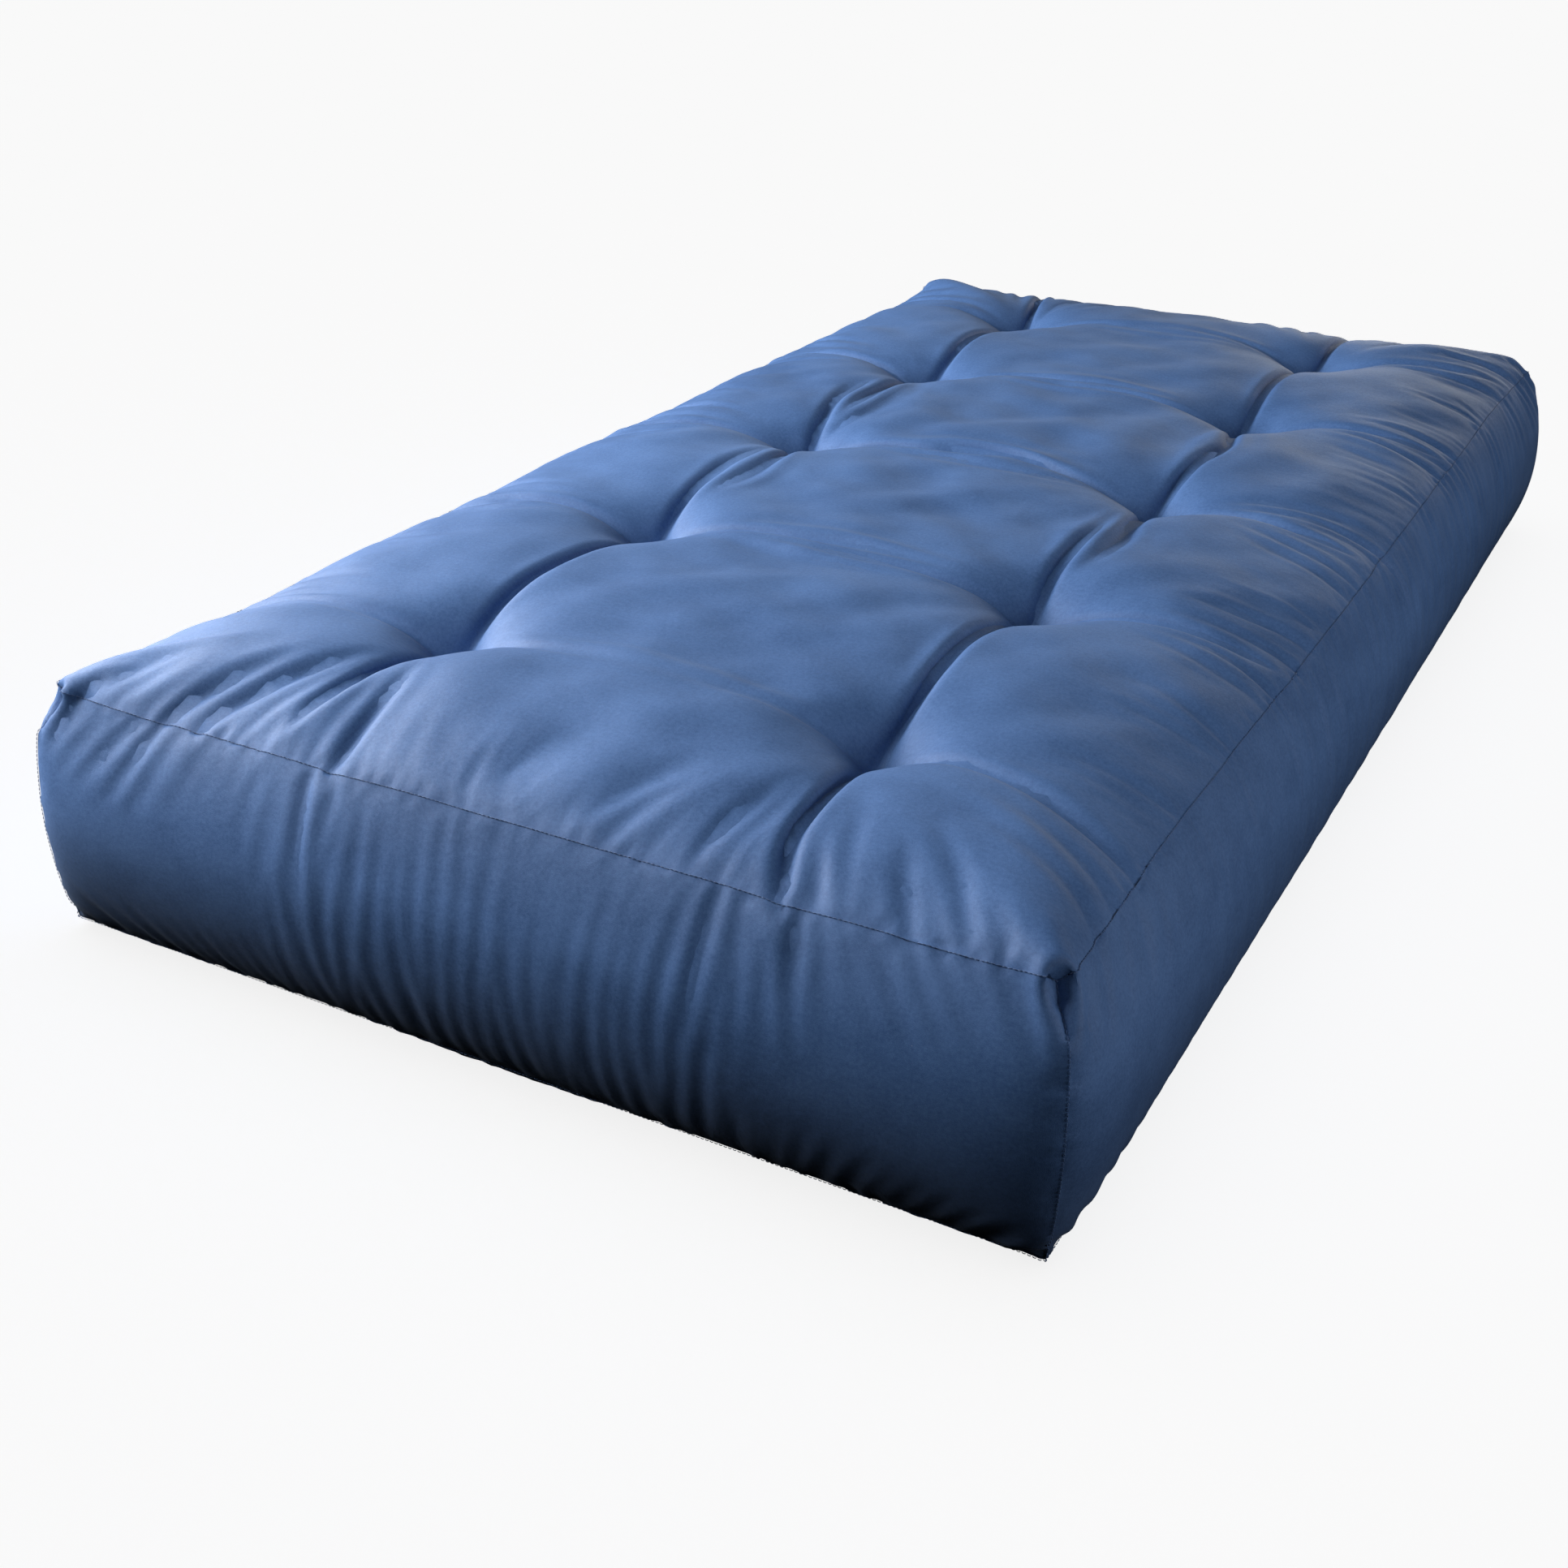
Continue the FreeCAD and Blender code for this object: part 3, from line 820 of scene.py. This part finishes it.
def layer_object(number):
    low_share, low = layer_face(number)
    high_share, high = layer_face(number + 1)
    gap = np.array([0, 0, LAYER_GAP]).reshape(3, 1, 1)
    low, high = low + gap, high - gap
    ids = np.arange(low[0].size).reshape(low.shape[1:])
    vertices = [low.reshape(3, -1).T, high.reshape(3, -1).T]
    border = ring_of(ids)
    rings, count = [border], 2 * ids.size
    for row in range(1, SIDE_ROWS):
        share = row / SIDE_ROWS
        swollen = level(low_share + share * (high_share - low_share))
        swollen[2] = low[2] + share * (high[2] - low[2])
        vertices.append(swollen.reshape(3, -1).T[border])
        rings.append(count + np.arange(len(border)))
        count += len(border)
    rings.append(border + ids.size)
    faces = grid_faces(ids, -1) + grid_faces(ids + ids.size, 1)
    for lower, upper in zip(rings, rings[1:]):
        faces += np.stack([lower, np.roll(lower, -1), np.roll(upper, -1), upper], axis=-1).tolist()
    return solid_object(f"filling_{LAYERS[number]}", np.concatenate(vertices), faces)


filling = [layer_object(number) for number in range(len(LAYERS))]

# %% [markdown]
# ## Sewing thread
# A lockstitch shows as a row of short, plump dashes. One stitch is modelled, and Geometry Nodes set it
# along each seam: the seam's line is cut into even steps, and a stitch is laid at each, turned
# to the seam's direction and to the cloth's outward direction. Change the length once, and all
# the seams follow.

# %% The stitching tree


def geometry_tree(name, **inputs):
    """A Geometry Nodes tree with a geometry input, the named inputs, and a geometry output."""
    group = bpy.data.node_groups.new(name, "GeometryNodeTree")
    group.interface.new_socket("Geometry", in_out="OUTPUT", socket_type="NodeSocketGeometry")
    group.interface.new_socket("Geometry", in_out="INPUT", socket_type="NodeSocketGeometry")
    for title, kind in inputs.items():
        group.interface.new_socket(title, in_out="INPUT", socket_type=kind)
    tree = Tree(group)
    entry = group.nodes.new("NodeGroupInput")
    return tree, {socket.name: Socket(tree, socket) for socket in entry.outputs if socket.name}


def finish_tree(tree, shape, material):
    """Ends a tree: instances made real, shaded smooth, with their material."""
    whole = tree.node("GeometryNodeRealizeInstances", {}, {"Geometry": shape})
    smooth = tree.node("GeometryNodeSetShadeSmooth", {}, {"Geometry": whole})
    done = tree.node("GeometryNodeSetMaterial", {}, {"Geometry": smooth, "Material": material})
    tree.put(tree.tree.nodes.new("NodeGroupOutput").inputs[0], done)
    return tree.tree


def stepped(tree, line, step):
    """A line cut into even steps, with the direction and the outward direction at each."""
    steps = tree.node("GeometryNodeResampleCurve", {"mode": "LENGTH"}, {"Curve": line, "Length": step})
    tangent = tree.node("GeometryNodeInputTangent")
    outward = tree.node("GeometryNodeInputNamedAttribute", {"data_type": "FLOAT_VECTOR"}, {"Name": "outward"})
    return steps, tangent, outward


def round_bar(tree, path, radius):
    """A closed bar of round section along a path."""
    section = tree.node("GeometryNodeCurvePrimitiveCircle", {}, {"Resolution": 6, "Radius": radius})
    sockets = {"Curve": path, "Profile Curve": section, "Fill Caps": True}
    return tree.node("GeometryNodeCurveToMesh", {}, sockets)


def stitch_tree():
    """Stitches along the input's edges. Its points carry the cloth's outward direction."""
    number = "NodeSocketFloat"
    tree, given = geometry_tree(
        "stitches", Step=number, Length=number, Slant=number, Height=number, Radius=number,
        Material="NodeSocketMaterial",
    )
    line = tree.node("GeometryNodeMeshToCurve", {}, {"Mesh": given["Geometry"]})
    steps, tangent, outward = stepped(tree, line, given["Step"])
    align = "FunctionNodeAlignRotationToVector"
    turn = tree.node(align, {"axis": "X"}, {"Vector": tangent})
    turn = tree.node(align, {"axis": "Z", "pivot_axis": "X"}, {"Rotation": turn, "Vector": outward})
    start, end = (
        tree.node("ShaderNodeCombineXYZ", {}, {"X": given["Length"] * side, "Y": given["Slant"] * side})
        for side in (-0.5, 0.5)
    )
    crest = tree.node("ShaderNodeCombineXYZ", {}, {"Z": given["Height"]})
    arch_sockets = {"Resolution": 4, "Start": start, "Middle": crest, "End": end}
    arch = tree.node("GeometryNodeCurveQuadraticBezier", {}, arch_sockets)
    stitch = round_bar(tree, arch, given["Radius"])
    laid_sockets = {"Points": steps, "Instance": stitch, "Rotation": turn}
    laid = tree.node("GeometryNodeInstanceOnPoints", {}, laid_sockets)
    return finish_tree(tree, laid, given["Material"])


# %% Seam lines and their stitches


def line_object(name, lines):
    """Edges through points that know which way is outward. lines holds (points, outward) pairs of (n, 3)."""
    points = np.concatenate([p for p, _ in lines])
    outward = np.concatenate([o for _, o in lines]).astype(np.float32)
    starts = np.cumsum([0] + [len(p) for p, _ in lines])
    edges = [(i, i + 1) for a, b in zip(starts, starts[1:]) for i in range(a, b - 1)]
    mesh = bpy.data.meshes.new(name)
    mesh.from_pydata(points.tolist(), edges, [])
    mesh.attributes.new("outward", "FLOAT_VECTOR", "POINT").data.foreach_set("vector", outward.ravel())
    return add_object(name, mesh)


def grow(piece, group, **values):
    """Runs a Geometry Nodes tree on a piece and keeps its result as a plain mesh."""
    modifier = piece.modifiers.new(group.name, "NODES")
    modifier.node_group = group
    for item in group.interface.items_tree:
        if item.item_type == "SOCKET" and item.in_out == "INPUT" and item.name in values:
            modifier[item.identifier] = values[item.name]
    grown = piece.evaluated_get(bpy.context.evaluated_depsgraph_get())
    mesh = bpy.data.meshes.new_from_object(grown)
    mesh.name = piece.name
    piece.modifiers.clear()
    piece.data = mesh
    print(f"{piece.name}: {len(mesh.polygons)} faces")
    return piece


def seam_line(number, lift):
    """A seam's settled line and outward directions, the line lifted this far off the cloth."""
    name, edge, _, _ = SEAMS[number]
    points = panels[name].points[beside(edge)]
    return (points + lift * seam_outward[number]).T.astype(float), seam_outward[number].T


LOCKSTITCH = {"Step": 0.0042, "Length": 0.0029, "Slant": 0.0, "Height": 0.0009, "Radius": 0.00036}
STITCH_LIFT = 0.0006
stitches = stitch_tree()
thread_lines = {
    "top_seam_thread": [seam_line(n, STITCH_LIFT) for n in (0, 1, 2, 3)],
    "bottom_seam_thread": [seam_line(n, STITCH_LIFT) for n in (4, 5, 6, 7)],
}
for number in range(LEVEL_SEAMS, len(SEAMS)):
    strip, _, side, _ = SEAMS[number]
    thread_lines[f"{strip}_{side}_corner_thread"] = [seam_line(number, STITCH_LIFT)]

# %% [markdown]
# The cover is stuffed through a gap in the rear bottom seam. That gap is shut last, by hand, with
# slanted whip stitches that are longer and thicker than the machine's.

# %% The thread, and every seam sewn


class Finish(Tree):
    """A material built on the Principled shader. uniform are the values that don't vary."""

    def __init__(self, name, **uniform):
        self.material = bpy.data.materials.new(name)
        self.material.use_nodes = True
        super().__init__(self.material.node_tree)
        self.shader = self.tree.nodes["Principled BSDF"]
        for socket, value in uniform.items():
            self.shader.inputs[socket.replace("_", " ")].default_value = value

    def place(self, output="Object"):
        return self.node("ShaderNodeTexCoord", output=output)

    def noise(self, at, scale, detail=2.0, roughness=0.5, stretch=(1, 1, 1)):
        if stretch != (1, 1, 1):
            at = self.node("ShaderNodeMapping", {}, {"Vector": at, "Scale": stretch})
        sockets = {"Vector": at, "Scale": scale, "Detail": detail, "Roughness": roughness}
        return self.node("ShaderNodeTexNoise", {}, sockets)

    def spread(self, value, low, high):
        """A value stretched so that low to high becomes 0 to 1."""
        return self.node("ShaderNodeMapRange", {}, {"Value": value, "From Min": low, "From Max": high})

    def done(self, colour, height=None, strength=0.3, distance=0.001):
        self.put(self.shader.inputs["Base Color"], colour)
        if height is not None:
            sockets = {"Strength": strength, "Distance": distance, "Height": height}
            self.put(self.shader.inputs["Normal"], self.node("ShaderNodeBump", {}, sockets))
        return self.material


def thread_finish(name, dark, light, roughness):
    """Twisted yarn: a soft gloss, and painted shade: its colour is lighter on the crowns of its bump and
    darker in the hollows.
    """
    yarn = Finish(name, Roughness=roughness, Sheen_Weight=0.2, Specular_IOR_Level=0.35)
    strands_and_shade = yarn.noise(yarn.place(), 2400, detail=1)
    # the colour follows the bump's noise: painted shade, darker in the hollows and lighter on the crowns
    return yarn.done(yarn.blend(yarn.spread(strands_and_shade, 0.35, 0.65), dark, light), strands_and_shade, 0.5, 0.0003)


thread = thread_finish("sewing_thread", (0.028, 0.070, 0.185, 1), (0.085, 0.165, 0.360, 1), 0.6)
WHIP_LIFT = 0.0012
WHIP_STITCH = {"Step": 0.0090, "Length": 0.0050, "Slant": 0.0060, "Height": 0.0022, "Radius": 0.0007}


def closing_line():
    """The stretch of the rear bottom seam that is sewn by hand."""
    low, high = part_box("closing_seam_thread")
    points, outward = seam_line(5, WHIP_LIFT)
    within = (points[:, 0] > low[0]) & (points[:, 0] < high[0])
    return [(points[within], outward[within])]


threads = {
    node: grow(line_object(f"stitches_{node}", lines), stitches, **LOCKSTITCH, Material=thread)
    for node, lines in thread_lines.items()
}
closing = line_object("stitches_closing_seam_thread", closing_line())
threads["closing_seam_thread"] = grow(closing, stitches, **WHIP_STITCH, Material=thread)

# %% [markdown]
# ## Tufting twine and felt pads
# Each tuft is one length of waxed twine: up through the mattress, over a short stitch in the
# dimple, down again, and tied in a knot under a felt pad that keeps it from tearing the cover. Twine
# is two plies laid round each other, so the tree moves each ply a little off the path, turning
# as it goes, and gives it a round section.

# %% The twine tree


def twine_tree():
    number = "NodeSocketFloat"
    tree, given = geometry_tree(
        "twine", Step=number, Lay=number, Radius=number, Offset=number, Material="NodeSocketMaterial"
    )
    path = tree.node("GeometryNodeMeshToCurve", {}, {"Mesh": given["Geometry"]})
    path, tangent, outward = stepped(tree, path, given["Step"])
    sideways = tree.node("ShaderNodeVectorMath", {"operation": "CROSS_PRODUCT"}, {0: tangent, 1: outward})
    run = tree.node("GeometryNodeSplineParameter", output="Length")
    both = tree.tree.nodes.new("GeometryNodeJoinGeometry")
    for start in (0.0, math.pi):
        turn = run * given["Lay"] + start
        parts = []
        for operation, way in (("COSINE", outward), ("SINE", sideways)):
            reach = tree.node("ShaderNodeMath", {"operation": operation}, {0: turn}) * given["Offset"]
            parts.append(tree.node("ShaderNodeVectorMath", {"operation": "SCALE"}, {0: way, "Scale": reach}))
        off = tree.node("ShaderNodeVectorMath", {"operation": "ADD"}, {0: parts[0], 1: parts[1]})
        ply = tree.node("GeometryNodeSetPosition", {}, {"Geometry": path, "Offset": off})
        tree.put(both.inputs[0], round_bar(tree, ply, given["Radius"]))
    return finish_tree(tree, Socket(tree, both.outputs[0]), given["Material"])


# %% One tuft's path
KNOT_SIZE, KNOT_DROP = 0.0016, 0.004
TAIL, TAIL_FALL = 0.018, 0.004
BEND_INSET, BEND_HEIGHT = 0.8, 0.004  # where a strand turns into the stitch above or the knot below
PLIES = {
    "Step": 0.0011, "Lay": math.tau / 0.0060, "Radius": TWINE_RADIUS * 0.52, "Offset": TWINE_RADIUS * 0.46,
}


def smooth_path(corners, count):
    """A smooth run through a few points, by averaging a finely cut polyline."""
    corners = np.array(corners, float)
    run = np.concatenate([[0], np.cumsum(np.linalg.norm(np.diff(corners, axis=0), axis=1))])
    at = np.linspace(0, run[-1], count)
    path = np.stack([np.interp(at, run, corners[:, k]) for k in range(3)], axis=1)
    for _ in range(6):
        path[1:-1] = (path[:-2] + 2 * path[1:-1] + path[2:]) / 4
    return path


def square_to(path, reference):
    """Unit vectors square to a path, as near to a reference direction as can be."""
    tangent = np.gradient(path, axis=0)
    tangent /= np.linalg.norm(tangent, axis=1, keepdims=True)
    across = reference - (tangent @ reference)[:, None] * tangent
    return across / np.linalg.norm(across, axis=1, keepdims=True)


def tuft_lines(x, y, spin):
    """The twine's main run with its tails, and its knot."""
    half, under = STRAND_GAP / 2, PAD_TOP_Z - 2 * pad_half[2]
    tail = np.array([math.cos(spin), math.sin(spin), 0]) * TAIL
    fall = np.array([0, 0, TAIL_FALL])
    knot_at = np.array([0, 0, under - KNOT_DROP])
    way_up = [
        knot_at + tail - fall, knot_at + tail * 0.5, knot_at,
        (-half * BEND_INSET, 0, under - TWINE_RADIUS), (-half, 0, under + BEND_HEIGHT),
        (-half, 0, TUFT_TOP_Z - BEND_HEIGHT), (-half * BEND_INSET, 0, TUFT_TOP_Z + TWINE_RADIUS),
    ]
    way_down = [(-x_at, -y_at, z) for x_at, y_at, z in reversed(way_up)]
    run = smooth_path(way_up + way_down, 420)
    t = np.linspace(0, math.tau, 60)
    knot = np.stack([np.sin(t) + 2 * np.sin(2 * t), np.cos(t) - 2 * np.cos(2 * t), -np.sin(3 * t)], axis=1)
    knot = knot * KNOT_SIZE + knot_at
    place = np.array([x, y, 0])
    return [
        (run + place, square_to(run, np.array([0.0, 1.0, 0.1]))),
        (knot + place, square_to(knot, np.array([0.0, 0.0, 1.0]))),
    ]


cord = thread_finish("waxed_twine", (0.045, 0.080, 0.170, 1), (0.110, 0.170, 0.310, 1), 0.5)
twines = {}
laying = twine_tree()
for place, (x, y, _) in TUFTS.items():
    lines = tuft_lines(x, y, random.uniform(0, math.pi))
    twines[place] = grow(line_object(f"twine_{place}", lines), laying, **PLIES, Material=cord)

# %% [markdown]
# A felt pad is a stamped disc. Its cut edge is fuzzy and not quite round, and the knot dishes it.

# %% Felt pads
PAD_SIDES = 48
# Shares of the radius and of the half thickness.
PAD_EDGE = ((0.30, 1.0), (0.60, 1.0), (0.86, 0.98), (0.97, 0.70), (1.0, 0.0))
PAD_PROFILE = PAD_EDGE + tuple((share, -height) for share, height in PAD_EDGE[-2::-1])
PAD_DISH = 0.0007
PAD_TRIM, PAD_PRESSED, PAD_MIDDLE = 0.985, 0.92, 0.9
PAD_FUZZ, PAD_ROUGHNESS = 0.00018, 0.00008


def felt_pad(place, centre):
    radius, half = float(pad_half[0]), float(pad_half[2])
    turn = np.arange(PAD_SIDES) * math.tau / PAD_SIDES
    rings = []
    for share, height in PAD_PROFILE:
        reach = radius * share * PAD_TRIM + random.normal(0, PAD_FUZZ, PAD_SIDES)
        lift = half * PAD_PRESSED * height - PAD_DISH * share ** 2
        lift = lift + random.normal(0, PAD_ROUGHNESS, PAD_SIDES)
        rings.append(np.stack([reach * np.cos(turn), reach * np.sin(turn), lift], axis=1))
    middles = [[0, 0, half * PAD_MIDDLE], [0, 0, -half * PAD_MIDDLE]]
    vertices = np.concatenate([*rings, middles]) + centre
    faces, last = [], len(PAD_PROFILE) * PAD_SIDES
    for side in range(PAD_SIDES):
        after = (side + 1) % PAD_SIDES
        for ring in range(len(PAD_PROFILE) - 1):
            low, high = ring * PAD_SIDES, (ring + 1) * PAD_SIDES
            faces.append([low + side, high + side, high + after, low + after])
        faces.append([last, side, after])
        faces.append([last + 1, last - PAD_SIDES + after, last - PAD_SIDES + side])
    return solid_object(f"felt_{place}", vertices, faces)


pads = {place: felt_pad(place, centre) for place, centre in TUFTS.items()}

# %% [markdown]
# ## Finishes
# The cover is brushed microfibre, a suede cloth: short fibre raised from a fine weave. Close to, it is
# a soft grain with no shine. Further off it shows lighter and darker strokes where the nap lies one way
# or the other, a few specks of lint, and edges that glow a little, which sheen gives. The sides also
# darken towards the floor. That is painted into the colour, and stands in for shade.

# %% Suede
NAP_BACK, NAP_UP = (0.038, 0.098, 0.250, 1), (0.078, 0.168, 0.385, 1)
LINT = (0.42, 0.48, 0.58, 1)
SHADE, SHADE_TOP, SHADE_SHARE = (0.013, 0.013, 0.018, 1), 0.17, 0.74  # darkens the cloth towards the floor


def suede():
    cloth = Finish(
        "suede", Roughness=0.62, Sheen_Weight=0.06, Sheen_Roughness=0.45,
        Sheen_Tint=(0.75, 0.87, 1.0, 1), Specular_IOR_Level=0.32,
    )
    where, weave = cloth.place(), cloth.place("UV")
    strokes = cloth.noise(where, 6, detail=4, roughness=0.55, stretch=(1.0, 0.5, 1.8))
    patches = cloth.noise(where, 24, detail=3, roughness=0.6)
    grain = cloth.noise(weave, 270, detail=4, roughness=0.9)
    lie = strokes * 0.32 + patches * 0.20 + grain * 0.48
    colour = cloth.blend(cloth.spread(lie, 0.40, 0.60), NAP_BACK, NAP_UP)
    spots = cloth.node("ShaderNodeTexVoronoi", {}, {"Vector": weave, "Scale": 16}, output="Distance")
    specks = cloth.spread(spots, 0.014, 0.008)
    colour = cloth.blend(specks * 0.6, colour, LINT)
    height = cloth.node("ShaderNodeSeparateXYZ", {}, {0: where}, output="Z")
    colour = cloth.blend(cloth.spread(height, SHADE_TOP, 0) * SHADE_SHARE, colour, SHADE)
    fibre = cloth.noise(weave, 1300, detail=2, roughness=0.6)
    crinkle = cloth.noise(weave, 95, detail=3, roughness=0.55)
    return cloth.done(colour, fibre * 0.35 + crinkle * 0.65, 0.42, 0.0016)


suede_finish = suede()
for piece in cover.values():
    piece.data.materials.append(suede_finish)

# %% Felt, batting and foam


def felt():
    wool = Finish("felt", Roughness=0.95, Sheen_Weight=0.4, Specular_IOR_Level=0.1)
    where = wool.place()
    hairs = wool.noise(where, 900, detail=4, roughness=0.7, stretch=(1, 0.35, 1))
    return wool.done(wool.blend(hairs, (0.20, 0.21, 0.23, 1), (0.62, 0.63, 0.66, 1)), hairs, 0.6, 0.0008)


def batting():
    cotton = Finish("cotton_batting", Roughness=0.98, Sheen_Weight=0.3, Specular_IOR_Level=0.05)
    where = cotton.place()
    tufts = cotton.noise(where, 45, detail=6, roughness=0.7)
    seeds = cotton.spread(cotton.noise(where, 260, detail=2), 0.70, 0.76)
    fluff = cotton.blend(tufts, (0.60, 0.56, 0.48, 1), (0.86, 0.83, 0.76, 1))
    return cotton.done(cotton.blend(seeds, fluff, (0.30, 0.22, 0.13, 1)), tufts, 0.8, 0.004)


def foam():
    block = Finish("foam", Roughness=0.9, Specular_IOR_Level=0.2)
    where = block.place()
    cells = block.node("ShaderNodeTexVoronoi", {}, {"Vector": where, "Scale": 700}, output="Distance")
    age = block.noise(where, 5, detail=3)
    colour = block.blend(age, (0.80, 0.72, 0.46, 1), (0.88, 0.84, 0.64, 1))
    return block.done(colour, cells, 0.5, 0.0006)


felt_finish, batting_finish, foam_finish = felt(), batting(), foam()
for pad in pads.values():
    pad.data.materials.append(felt_finish)
for node, piece in zip(LAYERS, filling):
    piece.data.materials.append(foam_finish if "foam" in node else batting_finish)

# %% [markdown]
# ## The floor
# A plain pale sheet of paper, wide enough to fill the view behind the mattress. Most of its white is a
# glow of its own, and the lamps pass it by. It takes a faint shadow from the sky, and sends no light
# back up, so that the tucked-under sides fall away into the dark.

# %% Floor
FLOOR_SIZE = 60.0
PAPER_GLOW = 0.84


def make_floor():
    half = FLOOR_SIZE / 2
    mesh = bpy.data.meshes.new("floor")
    corners = [(-half, -half, 0), (half, -half, 0), (half, half, 0), (-half, half, 0)]
    mesh.from_pydata(corners, [], [(0, 1, 2, 3)])
    floor = add_object("floor", mesh)
    paper = Finish("paper", Roughness=0.9, Specular_IOR_Level=0.1, Emission_Strength=PAPER_GLOW)
    paper.shader.inputs["Emission Color"].default_value = (1, 1, 1, 1)
    tone = paper.noise(paper.place(), 3)
    mesh.materials.append(paper.done(paper.blend(tone, (0.88, 0.88, 0.88, 1), (0.91, 0.91, 0.91, 1))))
    floor.visible_diffuse = floor.visible_glossy = False
    spared = bpy.data.collections.new("spared_by_lamps")
    spared.objects.link(floor)
    spared.collection_objects[0].light_linking.link_state = "EXCLUDE"
    for lamp in LAMPS:
        lamp.light_linking.receiver_collection = spared


make_floor()

# %% [markdown]
# ## The pieces on one body
# Every piece rides on the mattress's one body, and the part of the design that it
# stands for is hidden.

# %% What each piece is
NODE_OF = {
    "top": "top_panel", "bottom": "bottom_panel", "front": "front_boxing",
    "rear": "rear_boxing", "left": "left_boxing", "right": "right_boxing",
}


def hand_over(piece, node, slot):
    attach(piece, "root")
    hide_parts(node)


for name, piece in cover.items():
    hand_over(piece, NODE_OF[name], "cover_fabric")
for node, piece in zip(LAYERS, filling):
    hand_over(piece, node, "foam" if "foam" in node else "cotton_batting")
for node, piece in threads.items():
    hand_over(piece, node, "seam_thread")
for place in TUFTS:
    hand_over(twines[place], f"tuft_twine_{place}", "tufting_twine")
    hand_over(pads[place], f"tuft_pad_{place}", "tuft_felt")

# %% Size, and the end
print("design", [round(v, 4) for v in (*cad_low, *cad_high)])
